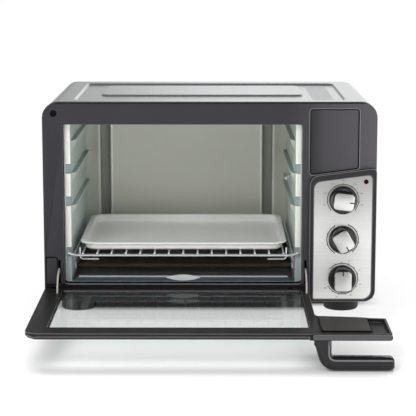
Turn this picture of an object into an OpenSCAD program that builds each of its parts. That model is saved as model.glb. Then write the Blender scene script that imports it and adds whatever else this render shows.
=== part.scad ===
// A countertop air fryer oven with a drop-down glass door, three dials, a fan, a rack, a pan and a crumb
// tray.
// Front is -Y and up is +Z, and the door is drawn open, lying level in front of the casing.
// The origin lies on the table, under the middle of the part with its door open.

/* [Casing] */
// Width of the casing
body_w = 470; // [460:1:500]
// Depth of the casing, front frame and back panel included
body_d = 342; // [330:1:400]
// Height of the casing above its feet
body_h = 283; // [276:1:320]
// Radius of the two top corners
corner_r = 21; // [14:1:26]
// Thickness of the casing's sheet
sheet_t = 1; // [0.8:0.1:1.4]
// Step from the front frame's edge in to the wrap
wrap_inset = 1; // [0.5:0.1:2]

/* [Top panel] */
// Depth of the stamped recess
recess_depth = 3; // [2:0.1:4]
// Margin of the recess at both sides
recess_side = 39; // [32:1:50]
// Margin of the recess at the front
recess_front = 34; // [26:1:44]
// Margin of the recess at the back
recess_back = 30; // [22:1:66]
// Corner radius of the recess
recess_r = 14; // [8:1:20]
// Rise of the middle panel over the recess
plateau_rise = 2.5; // [1.6:0.1:2.8]
// Margin of the middle panel at its left
plateau_left = 33; // [26:1:44]
// Margin of the middle panel at its right, where the vents are
plateau_right = 56; // [50:1:66]
// Margin of the middle panel at its front
plateau_front = 82; // [46:1:96]
// Margin of the middle panel at its back
plateau_back = 33; // [26:1:44]
// Length of one vent slot
vent_l = 31; // [24:1:34]
// Width of one vent slot
vent_w = 2.6; // [2:0.1:3.2]
// Pitch of the vent slots
vent_pitch = 7; // [5:0.5:9]
// Margin of the top vent field at its front and left
vent_margin = 10; // [8:1:14]

/* [Feet] */
// Diameter of a foot
foot_d = 55; // [44:1:60]
// Height of a foot
foot_h = 30; // [26:0.5:36]
// Distance from the casing's side to the foot's middle
foot_side = 41; // [34:1:60]
// Distance from the front plane to the front feet's middle
foot_front = 86; // [70:0.5:110]
// Distance from the back plane to the rear feet's middle
foot_back = 51; // [40:1:80]

/* [Front frame] */
// Thickness of the front frame
frame_t = 14; // [12:0.5:18]
// Width of the left stile
stile_w = 28.8; // [27:0.1:34]
// Height of the sill under the mouth
sill_h = 24.5; // [23:0.1:30]
// Height of the frame over the mouth
head_h = 30.8; // [28:0.1:40]
// Corner radius of the mouth
opening_r = 4; // [2:0.5:8]
// Width of the post between the mouth and the control housing
post_w = 10; // [9:0.5:14]
// Depth of the recess that takes the door's cover
pocket_d = 3; // [2.4:0.1:5]
// Margin of that recess at the frame's right
pocket_right = 25; // [18:1:28]
// Margin of that recess at the frame's top
pocket_top = 9; // [8.5:0.5:11]
// Margin of that recess over the control housing
pocket_base = 1; // [0.6:0.1:2]
// Rise of the moulded pad beside the left hinge
pad_rise = 0.6; // [0.3:0.1:0.8]
// Width of that pad
pad_w = 17; // [12:0.5:17.5]
// Height of that pad
pad_h = 41; // [30:1:46]

/* [Hinge] */
// Height of the hinge axis over the casing's bottom
hinge_rise = 14.5; // [13:0.1:16]
// Gap between the closed door and the frame
hinge_gap = 1; // [0.9:0.1:2]
// Diameter of the hinge pins
hinge_pin_d = 4; // [3:0.1:4.6]
// Radial play of the door on its pins
hinge_play = 0.05; // [0.02:0.01:0.08]
// Width of a hinge lug
lug_w = 8; // [6:0.5:9]
// Gap on each side of a lug
lug_gap = 0.5; // [0.4:0.1:1]
// Distance from the door's left edge to the left lug
lug_left = 8; // [6:0.5:9]
// Distance from the door's right edge to the right lug
lug_right = 20; // [18:0.5:26]

/* [Door] */
// Thickness of the door
door_t = 9; // [8.5:0.1:11]
// Gap from the casing's top to the closed door's edge
door_top_gap = 8; // [7:0.5:14]
// Gap from the casing's side to the door's left edge
door_side_gap = 1; // [0.5:0.1:1.5]
// Gap from the door's right edge to the control housing
door_post_gap = 1.4; // [1:0.1:2]
// Border left of the window
border_left = 26.2; // [25.5:0.1:32]
// Border right of the window
border_right = 10.5; // [10:0.1:14]
// Border at the window's far side
border_top = 32.5; // [28:0.5:40]
// Width of the rail on the hinge side
rail_w = 18; // [17:0.5:24]
// Radius of the far left corner
door_corner_r = 20; // [12:1:26]
// Run of the bevel on the outer side
bevel_run = 5; // [2:0.5:7]
// Thickness of the glass
glass_t = 4; // [3:0.1:4.6]
// Lap of the frame over the glass
glass_lap = 4; // [3:0.1:4.4]
// Thickness of the lip over the glass
glass_lip = 2; // [1.5:0.1:2.4]
// Gap round the glass
glass_gap = 0.5; // [0.3:0.1:0.8]

/* [Door wing] */
// Gap from the control housing to the closed wing
wing_gap = 2; // [1.5:0.1:2.4]
// Gap from the casing's right side to the wing's end
wing_end = 4; // [2:0.5:8]
// Thickness of the wing's base
wing_base = 4; // [3:0.1:4.4]
// Thickness of the wing's rim
wing_rim = 3; // [2.4:0.1:3.4]
// Radius in the corner between door and wing
wing_r = 14; // [8:1:18]
// Width of the inner cover
cover_w = 64; // [50:1:66]
// Rise of the inner cover over the door's inner face
cover_rise = 2; // [1:0.1:2.6]
// Wall of the inner cover
cover_t = 2.4; // [1.6:0.1:2.6]
// Gap round the inner cover
cover_gap = 0.6; // [0.4:0.1:1]
// Gap at the inner cover's far edge, where the handle's screws are
cover_far = 4.5; // [3:0.1:6]

/* [Handle] */
// Thickness of the arm along the wing's edge
arm_t = 4; // [3:0.5:4.5]
// Reach of the handle out from the door's outer face
handle_reach = 38.5; // [32:0.5:39]
// Height of the grip bar
bar_h = 17; // [14:0.5:20]
// Depth of the grip bar
bar_d = 20; // [16:0.5:26]
// Height of the bar's flat nose
bar_nose = 7; // [5:0.5:9]
// Width of the leg at its foot
leg_w = 12; // [10:0.5:16]
// Lean of the leg from its top to its foot
leg_lean = 13; // [4:0.5:16]
// Distance that the leg's top stands left of the wing
leg_out = 10; // [8:0.5:14]
// Diameter of the screws that hold the handle
handle_screw_d = 2.6; // [2:0.1:3]

/* [Door stays] */
// Radius of the stays' bend round the hinge axis
stay_r = 30; // [28:0.5:34]
// Height of a stay's strip
stay_w = 6; // [4:0.5:7]
// Thickness of a stay's strip
stay_t = 2; // [1.5:0.1:2.2]
// Gap at each side of a stay in its slot
stay_gap = 0.7; // [0.5:0.1:0.8]
// Distance from the window to the left stay's middle
stay_left = 5.7; // [5.4:0.1:7]
// Distance from the door's right edge to the right stay's middle
stay_right = 3.3; // [2.8:0.1:3.6]

/* [Cavity] */
// Step from the mouth's side in to the side wall
flange_w = 9.2; // [8:0.1:12]
// Depth of the cavity behind the frame
cavity_d = 276; // [266:1:284]
// Rise of the roof over the mouth
roof_rise = 12.5; // [11:0.5:14]
// Thickness of the liner's sheet
liner_t = 1; // [0.8:0.1:1.2]
// Depth of the ribs that carry the rack
rib_depth = 6; // [5:0.5:6.5]
// Height of a rib
rib_h = 19; // [14:0.5:20]
// Height of the rack's ribs over the cavity's floor
rack_rise = 36; // [32:0.1:38]
// Depth of the two flutes pressed into the back wall
flute_depth = 5; // [3:0.5:6]
// Width of a flute
flute_w = 17; // [12:1:24]
// Distance of a flute from the side wall
flute_side = 22; // [14:1:50]

/* [Rack] */
// Diameter of the rack's frame bars
bar_wire_d = 5; // [4:0.1:5.2]
// Diameter of the rack's cross wires
cross_wire_d = 3; // [2.4:0.1:3.4]
// Pitch of the cross wires
cross_pitch = 20.4; // [16:0.1:26]
// Depth that welded wires sink into each other
weld = 0.4; // [0.2:0.1:0.6]
// Gap from the rack to the side walls
rack_gap = 1; // [0.6:0.1:2]
// Length that the front bar's ends reach past the side walls
rack_ear = 5; // [3:0.5:6]
// Distance of the front bar in front of the liner
rack_front = 8; // [6:0.5:10]
// Gap behind the rack
rack_back = 13; // [7:0.5:20]

/* [Pan] */
// Gap from the pan's rim to the side walls
pan_side = 10.8; // [8:0.1:16]
// Depth of the pan over its rim
pan_d = 240; // [200:1:256]
// Height of the pan
pan_h = 12; // [8:0.5:30]
// Thickness of the pan's sheet
pan_t = 1; // [0.8:0.1:1.4]
// Width of the pan's rim
pan_rim = 7; // [4:0.5:9]
// Corner radius of the pan
pan_r = 24; // [14:1:34]
// Gap from the rack's wires up to the pan
pan_rest = 0.3; // [0.2:0.1:0.5]
// Distance from the liner's front to the pan
pan_front = 3; // [2:0.5:10]

/* [Crumb tray] */
// Height of the tray's side walls
tray_wall = 6.5; // [5:0.5:8]
// Height of the tray's front lip
tray_lip = 7.4; // [7:0.1:11]
// Thickness of the tray's sheet
tray_t = 0.9; // [0.8:0.1:1.2]
// Gap from the tray to the side walls
tray_side = 1.7; // [1:0.1:3]
// Gap between the tray and the floor under it
tray_rest = 0.3; // [0.2:0.1:0.5]
// Gap behind the tray
tray_back = 7; // [6.5:0.5:20]
// Distance of the tray's lip behind the frame
tray_front = 2; // [1.8:0.1:4]
// Width of the pull tab
tab_w = 49; // [40:1:60]
// Height of the pull tab
tab_h = 9; // [7:0.5:10]

/* [Heating rods] */
// Diameter of a heating rod
rod_d = 8; // [6:0.1:8.6]
// Gap from the roof to the upper rods' axes
rod_top = 9; // [8:0.5:11]
// Height of the lower rods' axes over the floor
rod_low = 12.5; // [12:0.1:16]
// Distances of the front rods and the rear rods from the frame
rod_front = 54; // [44:1:70]
// Distance of the rear rods from the front rods
rod_apart = 138; // [120:1:160]
// Wall of an insulating bush
bush_t = 1.5; // [1.2:0.1:2]
// Length that a rod's end stands out of the side wall
rod_end = 9; // [8:0.5:10]

/* [Control panel] */
// Width of the control housing
panel_w = 94.2; // [90:0.1:104]
// Height of the control housing's left edge
panel_h = 179.5; // [170:0.5:184]
// Slant of the housing's top edge in degrees
panel_slant = 7.4; // [5:0.1:9]
// Projection of the housing from the frame
panel_proud = 7; // [6:0.1:8]
// Width of the rim beside the plate
panel_rim = 6.2; // [5:0.1:8]
// Width of the rim over the plate
panel_rim_top = 9; // [6:0.1:10]
// Width of the rim under the plate
panel_rim_base = 4; // [3:0.1:6]
// Depth of the plate's face behind the rim
plate_sink = 1; // [0.6:0.1:1.6]
// Thickness of the plate
plate_t = 1; // [0.8:0.1:1.4]
// Height of the lowest dial over the casing's bottom
dial_low = 33.3; // [30:0.1:36]
// Pitch of the dials
dial_pitch = 56.6; // [52:0.1:58]
// Diameter of a knob's skirt
knob_d = 40; // [34:0.5:44]
// Thickness of the skirt
knob_skirt = 5; // [4:0.5:7]
// Height of the grip over the skirt
knob_grip_h = 14; // [10:0.5:18]
// Width of the grip
knob_grip_w = 25; // [20:0.5:28]
// Gap between a knob and the plate
knob_gap = 0.8; // [0.5:0.1:1.2]
// Thickness of a knob's silver cap
cap_t = 1.5; // [1:0.1:2.5]
// Diameter of a dial's shaft
shaft_d = 6; // [5:0.1:7]
// Radial play of a shaft in its bush
shaft_play = 0.05; // [0.02:0.01:0.08]
// Diameter of the lamp's lens
lens_d = 6.7; // [5:0.1:8]
// Distance of the lens from the plate's right edge
lens_side = 8.8; // [6:0.1:12]
// Distance of the lens below the plate's top edge
lens_top = 8.5; // [6:0.1:12]
// Width of a switch unit
unit_w = 36; // [30:1:40]
// Height of a switch unit
unit_h = 30; // [24:1:40]
// Depth of a switch unit
unit_d = 26; // [20:1:34]

/* [Fan] */
// Distance of the fan's axis behind the frame
fan_back = 96; // [86:1:110]
// Height of the fan's axis over the cavity's floor
fan_rise = 152; // [140:1:156]
// Radius of the fan's wheel
fan_r = 52; // [44:1:56]
// Width of the fan's wheel
fan_w = 10; // [8:0.5:12]
// Gap round the wheel in its duct
fan_gap = 4; // [3:0.5:6]
// Thickness of the duct's sheet
duct_t = 0.8; // [0.8:0.1:1.2]
// Diameter of the fan's shaft
fan_shaft_d = 5; // [4:0.1:6]
// Diameter of the motor
motor_d = 56; // [44:1:64]
// Length of the motor
motor_l = 34; // [26:1:44]
// Diameter of one hole in the perforated wall
hole_d = 5; // [4:0.1:6]
// Pitch of those holes
hole_pitch = 10; // [9:0.5:14]

/* [Back and inside] */
// Diameter of the cord gland's bore
gland_bore = 8; // [7:0.1:9]
// Outer diameter of the gland's flange
gland_d = 18; // [15:0.5:22]
// Thickness of the gland's flange
gland_flange = 4; // [3:0.1:5]
// Height of the gland over the casing's bottom
gland_rise = 38; // [30:1:60]
// Diameter of a wire of the harness
wire_d = 3; // [2:0.1:3.4]
// Diameter of a case screw's head
screw_head_d = 7; // [6:0.1:8]
// Diameter of a case screw's shank
screw_d = 3; // [2.4:0.1:3.6]

/* [Hidden] */

$fn = 48;
// Sides of a thin wire or rod drawn as a prism
wire_fn = 8;
// Overshoot of a cutting shape
eps = 0.5;
// Radial gap of a pin or screw in its own seat
seat = 0.02;
// Gap of a piece that drops into a hole or pocket
slip = 0.3;

// Casing planes
x_left = -body_w / 2;
x_right = body_w / 2;
door_len = body_h - door_top_gap - hinge_rise;
y_front = (hinge_gap + door_t / 2 + door_len + arm_t - body_d - gland_flange) / 2;
y_back = y_front + body_d;
y_in = y_front + frame_t;
z_base = foot_h;
z_top = z_base + body_h;
wrap_x = body_w / 2 - wrap_inset;
wrap_z = z_top - wrap_inset;
wrap_y = y_back - sheet_t;
wrap_r = corner_r - wrap_inset;

// Mouth of the cavity
mouth_x0 = x_left + stile_w;
house_x0 = x_right - panel_w;
mouth_x1 = house_x0 - post_w;
mouth_z0 = z_base + sill_h;
mouth_z1 = z_top - head_h;

// Liner planes, at the faces that look into the cavity
liner_x0 = mouth_x0 + flange_w;
liner_x1 = mouth_x1 - flange_w;
liner_mid = (liner_x0 + liner_x1) / 2;
liner_y1 = y_in + cavity_d;
liner_z0 = mouth_z0;
liner_z1 = mouth_z1 + roof_rise;
// Heights of the ribs over the rack's own ribs
rib_levels = [0, 73.5, 120, 166.5];
rack_level = liner_z0 + rack_rise;

// Hinge and door, open: the door's inner face looks up
axis_y = y_front - hinge_gap - door_t / 2;
axis_z = z_base + hinge_rise;
door_in = axis_z + door_t / 2;
door_out = axis_z - door_t / 2;
door_far = axis_y - door_len;
door_x0 = x_left + door_side_gap;
door_x1 = house_x0 - door_post_gap;
pane_x0 = door_x0 + border_left;
pane_x1 = door_x1 - border_right;
pane_y1 = axis_y + door_t / 2 - rail_w;
pane_y0 = door_far + border_top;
pane_r = 2;
wing_x1 = x_right - wing_end;
lug_l = door_x0 + lug_left;
lug_r = door_x1 - lug_right - lug_w;
lug_reach = door_t / 2 + 2 * lug_gap;
stay_x = [pane_x0 - stay_left, door_x1 - stay_right];
// Ends of a stay's bend round the axis, in degrees from the back
stay_end = [183, 75];

// Control panel, seen from the front
function slant(x) = z_base + panel_h + (x - house_x0) * tan(panel_slant);
plate_x0 = house_x0 + panel_rim;
plate_x1 = x_right - panel_rim;
house_y = y_front - panel_proud;
plate_y = house_y + plate_sink;
dial_x = (plate_x0 + plate_x1) / 2;
dial_z = [for (i = [0:2]) z_base + dial_low + i * dial_pitch];
lens_x = plate_x1 - lens_side;
lens_z = slant(lens_x) - panel_rim_top - lens_top;
// Turn of each pointer from the top, clockwise from the front: timer, mode, temperature
pointer = [0, 150, 97];

// Closed height of a door point and its place when the door is open
function open_y(z) = axis_y - (z - axis_z);
function wing_y(x) = open_y(slant(x) + wing_gap);

// Rods, fan and units
rod_levels = [liner_z0 + rod_low, liner_z1 - rod_top];
rod_rows = [y_in + rod_front, y_in + rod_front + rod_apart];
fan_y = y_in + fan_back;
fan_z = liner_z0 + fan_rise;
duct_x0 = liner_x1 + liner_t;
duct_x1 = duct_x0 + fan_w + 2 * fan_gap;
duct_r = fan_r + fan_gap;
motor_x0 = duct_x1 + duct_t;

// Rack and pan heights
bar_z = rack_level + slip + bar_wire_d / 2;
cross_z = bar_z + bar_wire_d / 2 + cross_wire_d / 2 - weld;
pan_z = cross_z + cross_wire_d / 2 + pan_rest;
rack_x0 = liner_x0 + rack_gap + bar_wire_d / 2;
rack_x1 = liner_x1 - rack_gap - bar_wire_d / 2;
rack_y0 = y_in - rack_front;
rack_y1 = liner_y1 - rack_back;
tray_z = liner_z0 + tray_rest;

// Points of an arc about c
function arc(c, r, a0, a1, n) = [for (i = [0:n]) let (a = a0 + (a1 - a0) * i / n) c + r * [cos(a), sin(a)]];

// Points that round the corner b between a and c
function round_corner(a, b, c, r, n) =
  let (u = (a - b) / norm(a - b), v = (c - b) / norm(c - b))
  let (half = acos(u * v) / 2, o = b + (u + v) / norm(u + v) * r / sin(half))
  let (p = b + u * r / tan(half) - o, q = b + v * r / tan(half) - o)
  let (a0 = atan2(p[1], p[0]), turn = (atan2(q[1], q[0]) - a0 + 540) % 360 - 180)
  arc(o, r, a0, a0 + turn, n);

// Outline through corners given as [x, y, radius]
function outline(v, n = 6) = [for (i = [0:len(v) - 1])
  let (a = v[(i + len(v) - 1) % len(v)], b = v[i], c = v[(i + 1) % len(v)])
  each b[2] == 0 ? [[b[0], b[1]]] : round_corner([a[0], a[1]], [b[0], b[1]], [c[0], c[1]], b[2], n)];

// Outline of a box with one corner radius
function round_box(x0, y0, x1, y1, r, n = 6) =
  outline([[x0, y0, r], [x1, y0, r], [x1, y1, r], [x0, y1, r]], n);

// Box between two corners
module block(a, b) {
  translate(a) cube(b - a);
}

// Plate with an outline in X and Z, from y0 back to y1
module upright(points, y0, y1) {
  translate([0, y1, 0]) rotate([90, 0, 0]) linear_extrude(y1 - y0) polygon(points);
}

// Bar with a section in Y and Z, from x0 to x1
module along_x(points, x0, x1) {
  translate([x0, 0, 0]) rotate([90, 0, 90]) linear_extrude(x1 - x0) polygon(points);
}

// Plate with an outline in X and Y, from z0 up to z1
module level(points, z0, z1) {
  translate([0, 0, z0]) linear_extrude(z1 - z0) polygon(points);
}

module rod_x(x0, x1, y, z, r) {
  translate([x0, y, z]) rotate([0, 90, 0]) cylinder(h = x1 - x0, r = r);
}

module rod_y(y0, y1, x, z, r) {
  translate([x, y0, z]) rotate([-90, 0, 0]) cylinder(h = y1 - y0, r = r);
}

module rod_z(z0, z1, x, y, r) {
  translate([x, y, z0]) cylinder(h = z1 - z0, r = r);
}

// Straight wire from p to q, a prism that runs on by its radius at both ends
module wire(p, q, d) {
  v = q - p;
  l = norm(v);
  turn = [0, acos(v[2] / l), atan2(v[1], v[0])];
  translate(p) rotate(turn) translate([0, 0, -d / 2]) cylinder(h = l + d, d = d, $fn = wire_fn);
}

// Wire along a list of points
module wire_path(points, d) {
  for (i = [0:len(points) - 2]) wire(points[i], points[i + 1], d);
}

// Casing

function wrap_outline(inset, base) = outline([
  [-wrap_x + inset, base, 0], [wrap_x - inset, base, 0],
  [wrap_x - inset, wrap_z - inset, wrap_r - inset], [-wrap_x + inset, wrap_z - inset, wrap_r - inset]]);

function recess_outline(inset) = round_box(-wrap_x + recess_side + inset, y_in + recess_front + inset,
  wrap_x - recess_side - inset, wrap_y - recess_back - inset, recess_r - inset);

function plateau_outline(inset) = round_box(-wrap_x + recess_side + plateau_left + inset,
  y_in + recess_front + plateau_front + inset, wrap_x - recess_side - plateau_right - inset,
  wrap_y - recess_back - plateau_back - inset, recess_r - inset);

// Row of vent slots along Y on a level sheet
module top_vents(z0, z1) {
  x0 = wrap_x - recess_side - plateau_right + vent_margin;
  y0 = y_in + recess_front + vent_margin;
  run = wrap_y - recess_back - plateau_back - y0;
  for (y = [y0:vent_pitch:y0 + run]) {
    level(round_box(x0, y, x0 + vent_l, y + vent_w, vent_w / 3, 2), z0, z1);
  }
}

// Distances of the side slots from the casing's top, its frame and its back
side_vent_drop = [110, 70];
side_vent_front = 60;
side_vent_back = 90;

// Two rows of upright slots in the right side
module side_vents() {
  for (drop = side_vent_drop, y = [y_in + side_vent_front:vent_pitch * 2:wrap_y - side_vent_back]) {
    z = z_top - drop;
    block([wrap_x - sheet_t - eps, y, z], [wrap_x + eps, y + vent_w, z + vent_l]);
  }
}

module outer_wrap() {
  floor_z = wrap_z - recess_depth;
  raised_z = floor_z + plateau_rise;
  color("silver") difference() {
    union() {
      difference() {
        upright(wrap_outline(0, z_base), y_in, wrap_y);
        upright(wrap_outline(sheet_t, z_base - eps), y_in - eps, wrap_y + eps);
        level(recess_outline(sheet_t / 2), wrap_z - sheet_t - eps, wrap_z + eps);
      }
      difference() {
        level(recess_outline(0), floor_z - sheet_t, wrap_z);
        level(recess_outline(sheet_t), floor_z, wrap_z + eps);
        level(plateau_outline(sheet_t / 2), floor_z - sheet_t - eps, floor_z + eps);
      }
      difference() {
        level(plateau_outline(0), floor_z - sheet_t, raised_z);
        level(plateau_outline(sheet_t), floor_z - sheet_t - eps, raised_z - sheet_t);
      }
    }
    top_vents(floor_z - sheet_t - eps, floor_z + eps);
    side_vents();
  }
}

// Places of the screws in the back panel, from its sides, bottom and top
back_screw_side = 12;
back_screw_low = 16;
back_screw_high = 34;
back_screws = [for (s = [-1, 1], z = [z_base + back_screw_low, (z_base + z_top) / 2,
  z_top - back_screw_high])
  [s * (wrap_x - back_screw_side), z]];
screw_head_t = 2;
screw_tail = 6;

// Cord gland: its place, flange, neck and length
gland_x = dial_x;
gland_z = z_base + gland_rise;
gland_neck_r = gland_d / 2 - 3;
gland_len = 14;

// Field of slots in the back panel: its left edge from the casing's side, its width and its two rows
back_vent_side = 85;
back_vent_run = 210;
back_vent_rise = [70, 150];
back_vent_l = 50;

module back_panel() {
  color("dimgray") difference() {
    upright(wrap_outline(0, z_base), wrap_y, y_back);
    for (x = [x_left + back_vent_side:vent_pitch * 2:x_left + back_vent_side + back_vent_run],
      rise = back_vent_rise) {
      block([x, wrap_y - eps, z_base + rise], [x + vent_w, y_back + eps, z_base + rise + back_vent_l]);
    }
    for (p = back_screws) rod_y(wrap_y - eps, y_back + eps, p[0], p[1], screw_d / 2 + seat);
    rod_y(wrap_y - eps, y_back + eps, gland_x, gland_z, gland_neck_r + seat);
  }
}

// Thickness of the bottom plate and places of the feet under it
base_t = 1.2;
foot_places = [[-1, y_front + foot_front], [1, y_front + foot_front], [-1, y_back - foot_back],
  [1, y_back - foot_back]];
foot_x = body_w / 2 - foot_side;

module bottom_plate() {
  color("gray") difference() {
    block([-wrap_x + sheet_t, y_in, z_base], [wrap_x - sheet_t, wrap_y, z_base + base_t]);
    for (p = foot_places) {
      rod_z(z_base - eps, z_base + base_t + eps, p[0] * foot_x, p[1], screw_d / 2 + seat);
    }
  }
}

// Depth and extra width of a foot's screw well, and the foot's taper to the table
foot_sink = 8;
foot_well = 3;
foot_taper = 4;

// Round foot with a screw well in its underside
module foot(i) {
  p = foot_places[i];
  color("black") translate([p[0] * foot_x, p[1], 0]) difference() {
    union() {
      cylinder(h = foot_h - foot_sink, d1 = foot_d - foot_taper, d2 = foot_d);
      translate([0, 0, foot_h - foot_sink]) cylinder(h = foot_sink, d = foot_d);
    }
    translate([0, 0, -eps]) cylinder(h = foot_sink + eps, d = screw_head_d + foot_well);
    cylinder(h = foot_h + eps, d = screw_d + 2 * seat);
  }
}

module foot_screws() {
  color("silver") for (p = foot_places) translate([p[0] * foot_x, p[1], 0]) {
    translate([0, 0, foot_sink - screw_head_t]) cylinder(h = screw_head_t, d = screw_head_d);
    translate([0, 0, foot_sink - eps]) cylinder(h = foot_h - foot_sink + base_t + screw_tail, d = screw_d);
  }
}

module case_screws() {
  color("silver") for (p = back_screws) {
    rod_y(y_back, y_back + screw_head_t, p[0], p[1], screw_head_d / 2);
    rod_y(wrap_y - screw_tail, y_back + eps, p[0], p[1], screw_d / 2);
  }
}

// Front frame

pocket_x0 = house_x0;
pocket_x1 = x_right - pocket_right;
pocket_z1 = z_top - pocket_top;
pocket_r = 4;
// Radii of the frame's two lower corners
frame_r = [5, 16];
// Rubber bumper: its size, its place from the frame's edges, its seat and its stand-off
bumper_d = 9.6;
bumper_x = x_left + 16;
bumper_z = z_top - 15.3;
bumper_in = 3;
bumper_proud = 0.6 * hinge_gap;
// Left edge, lower edge and corner radius of the pad beside the hinge
pad_x = x_left + 2;
pad_z = axis_z + 8;
pad_r = 4;
// Lower and upper ends of the stays' slots
slot_low = 10;
slot_over = 11;
slot_z = [axis_z + slot_low, axis_z + stay_r + stay_w / 2 + slot_over];
bush_wall = 1.7;
bush_d = shaft_d + 2 * bush_wall;

// Lug that carries a hinge pin, seen along X
lug_points = concat([[y_front + eps, door_out], [axis_y, door_out]],
  arc([axis_y, axis_z], door_t / 2, 270, 90, 10), [[y_front + eps, door_in]]);

module front_frame() {
  color([0.27, 0.26, 0.28]) difference() {
    union() {
      upright(outline([[x_left, z_base, frame_r[0]], [x_right, z_base, frame_r[1]],
        [x_right, z_top, corner_r],
        [x_left, z_top, corner_r]]), y_front, y_in);
      for (x = [lug_l, lug_r]) along_x(lug_points, x, x + lug_w);
      upright(outline([[pad_x, pad_z, 0], [pad_x + pad_w, pad_z, 0], [pad_x + pad_w, pad_z + pad_h, pad_r],
        [pad_x, pad_z + pad_h, 1]]), y_front - pad_rise, y_front + eps);
    }
    upright(round_box(mouth_x0, mouth_z0, mouth_x1, mouth_z1, opening_r), y_front - eps, y_in + eps);
    upright(outline([[pocket_x0, slant(pocket_x0) + pocket_base, pocket_r],
      [pocket_x1, slant(pocket_x1) + pocket_base, pocket_r], [pocket_x1, pocket_z1, pocket_r],
      [pocket_x0, pocket_z1, pocket_r]]), y_front - eps, y_front + pocket_d);
    for (x = stay_x) {
      block([x - stay_t / 2 - stay_gap, y_front - 2 * eps, slot_z[0]],
        [x + stay_t / 2 + stay_gap, y_in + eps, slot_z[1]]);
    }
    for (x = [lug_l, lug_r]) rod_x(x - eps, x + lug_w + eps, axis_y, axis_z, hinge_pin_d / 2 + seat);
    for (z = dial_z) rod_y(y_front - eps, y_in + eps, dial_x, z, bush_d / 2 + slip);
    rod_y(y_front - eps, y_in + eps, lens_x, lens_z, lens_d / 2);
    rod_y(y_front - eps, y_front + bumper_in, bumper_x, bumper_z, bumper_d / 2 + seat);
  }
}

module door_bumper() {
  color("black") rod_y(y_front - bumper_proud, y_front + bumper_in, bumper_x, bumper_z, bumper_d / 2);
}

// Ends of the hinge pins, which run on past their lugs
pin_past = 8;
pin_x = [[door_x0 + eps, lug_l + lug_w + pin_past], [lug_r - pin_past, door_x1 - eps]];

module hinge_pin(i) {
  color("silver") rod_x(pin_x[i][0], pin_x[i][1], axis_y, axis_z, hinge_pin_d / 2);
}

// Control panel

// Outline of the housing, or of the plate in it, from its insets and corner radii
function panel_outline(side, base, top, r) = outline([
  [house_x0 + side, z_base + base, r[0]], [x_right - side, z_base + base, r[1]],
  [x_right - side, slant(x_right - side) - top, r[2]], [house_x0 + side, slant(house_x0 + side) - top,
    r[3]]]);

// Corner radii of the housing and of the plate's seat, from the lower left anticlockwise
house_r = [3, frame_r[1], 6, 14];
plate_r = [1.5, 12, 5, 11];
plate_slip = 0.2;
// Stand-off of the lens and reach of the lamp behind the frame
lens_rise = 1;
lamp_in = 10;

module control_housing() {
  color([0.3, 0.28, 0.31]) difference() {
    upright(panel_outline(0, 0, 0, house_r), house_y, y_front);
    upright(panel_outline(panel_rim, panel_rim_base, panel_rim_top, plate_r), house_y - eps,
      plate_y + plate_t);
    for (z = dial_z) rod_y(house_y - eps, y_front + eps, dial_x, z, bush_d / 2 + slip);
    rod_y(house_y - eps, y_front + eps, lens_x, lens_z, lens_d / 2);
  }
}

module control_plate() {
  color([0.75, 0.75, 0.74]) difference() {
    upright(panel_outline(panel_rim + plate_slip, panel_rim_base + plate_slip, panel_rim_top + plate_slip,
      plate_r), plate_y, plate_y + plate_t);
    for (z = dial_z) rod_y(plate_y - eps, plate_y + plate_t + eps, dial_x, z, bush_d / 2 + slip);
    rod_y(plate_y - eps, plate_y + plate_t + eps, lens_x, lens_z, lens_d / 2 + seat);
  }
}

module indicator_lens() {
  color([0.25, 0.03, 0.03]) rod_y(plate_y - lens_rise, plate_y + plate_t, lens_x, lens_z, lens_d / 2);
}

module indicator_lamp() {
  color([0.9, 0.5, 0.3]) rod_y(plate_y + plate_t, y_in + lamp_in, lens_x, lens_z, lens_d / 2 - slip);
}

// Dials: knob, silver cap and shaft, with the pointer up before they turn

// The grip narrows from its base to its face, and the cap leaves a margin on the face
grip_base = 0.8;
grip_taper = 3.5;
grip_r0 = knob_d / 2 - grip_base;
grip_r1 = knob_d / 2 - grip_taper;
knob_y = plate_y - knob_gap;
knob_face = knob_skirt + knob_grip_h;
knob_wall = 4;
cap_side = 0.75;
cap_end = 2.5;
cap_w = knob_grip_w - 2 * cap_side;
cap_l = 2 * (grip_r1 - cap_end);
cap_r = 5.5;
mark_w = 1.8;
mark_l = 6;
// Depth of the shaft's bore in a unit, and the gap at the shaft's ends
shaft_in = unit_d / 2;
shaft_end = 1;
bush_back = 1;

module at_dial(i) {
  translate([dial_x, knob_y, dial_z[i]]) rotate([0, pointer[i], 0]) rotate([90, 0, 0]) children();
}

module knob(i) {
  color([0.1, 0.1, 0.1]) at_dial(i) difference() {
    union() {
      cylinder(h = knob_skirt, r = knob_d / 2);
      intersection() {
        translate([0, 0, knob_skirt - eps]) cylinder(h = knob_grip_h + eps, r1 = grip_r0, r2 = grip_r1);
        translate([-knob_grip_w / 2, -knob_d, 0]) cube([knob_grip_w, 2 * knob_d, knob_face + eps]);
      }
      translate([-mark_w / 2, cap_l / 2 - mark_l, knob_face - eps]) cube([mark_w, mark_l, cap_t + eps]);
    }
    translate([0, 0, -eps]) cylinder(h = knob_face - knob_wall + eps, r = shaft_d / 2 + seat);
  }
}

module knob_cap(i) {
  color([0.8, 0.8, 0.8]) at_dial(i) difference() {
    level(round_box(-cap_w / 2, -cap_l / 2, cap_w / 2, cap_l / 2, cap_r), knob_face, knob_face + cap_t);
    translate([-mark_w / 2 - seat, cap_l / 2 - mark_l - seat, knob_face - eps]) {
      cube([mark_w + 2 * seat, mark_l + 2 * eps, cap_t + 2 * eps]);
    }
  }
}

module dial_shaft(i) {
  front = knob_y - knob_face + knob_wall + shaft_end;
  color("silver") rod_y(front, y_in + shaft_in - shaft_end, dial_x, dial_z[i], shaft_d / 2);
}

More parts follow.
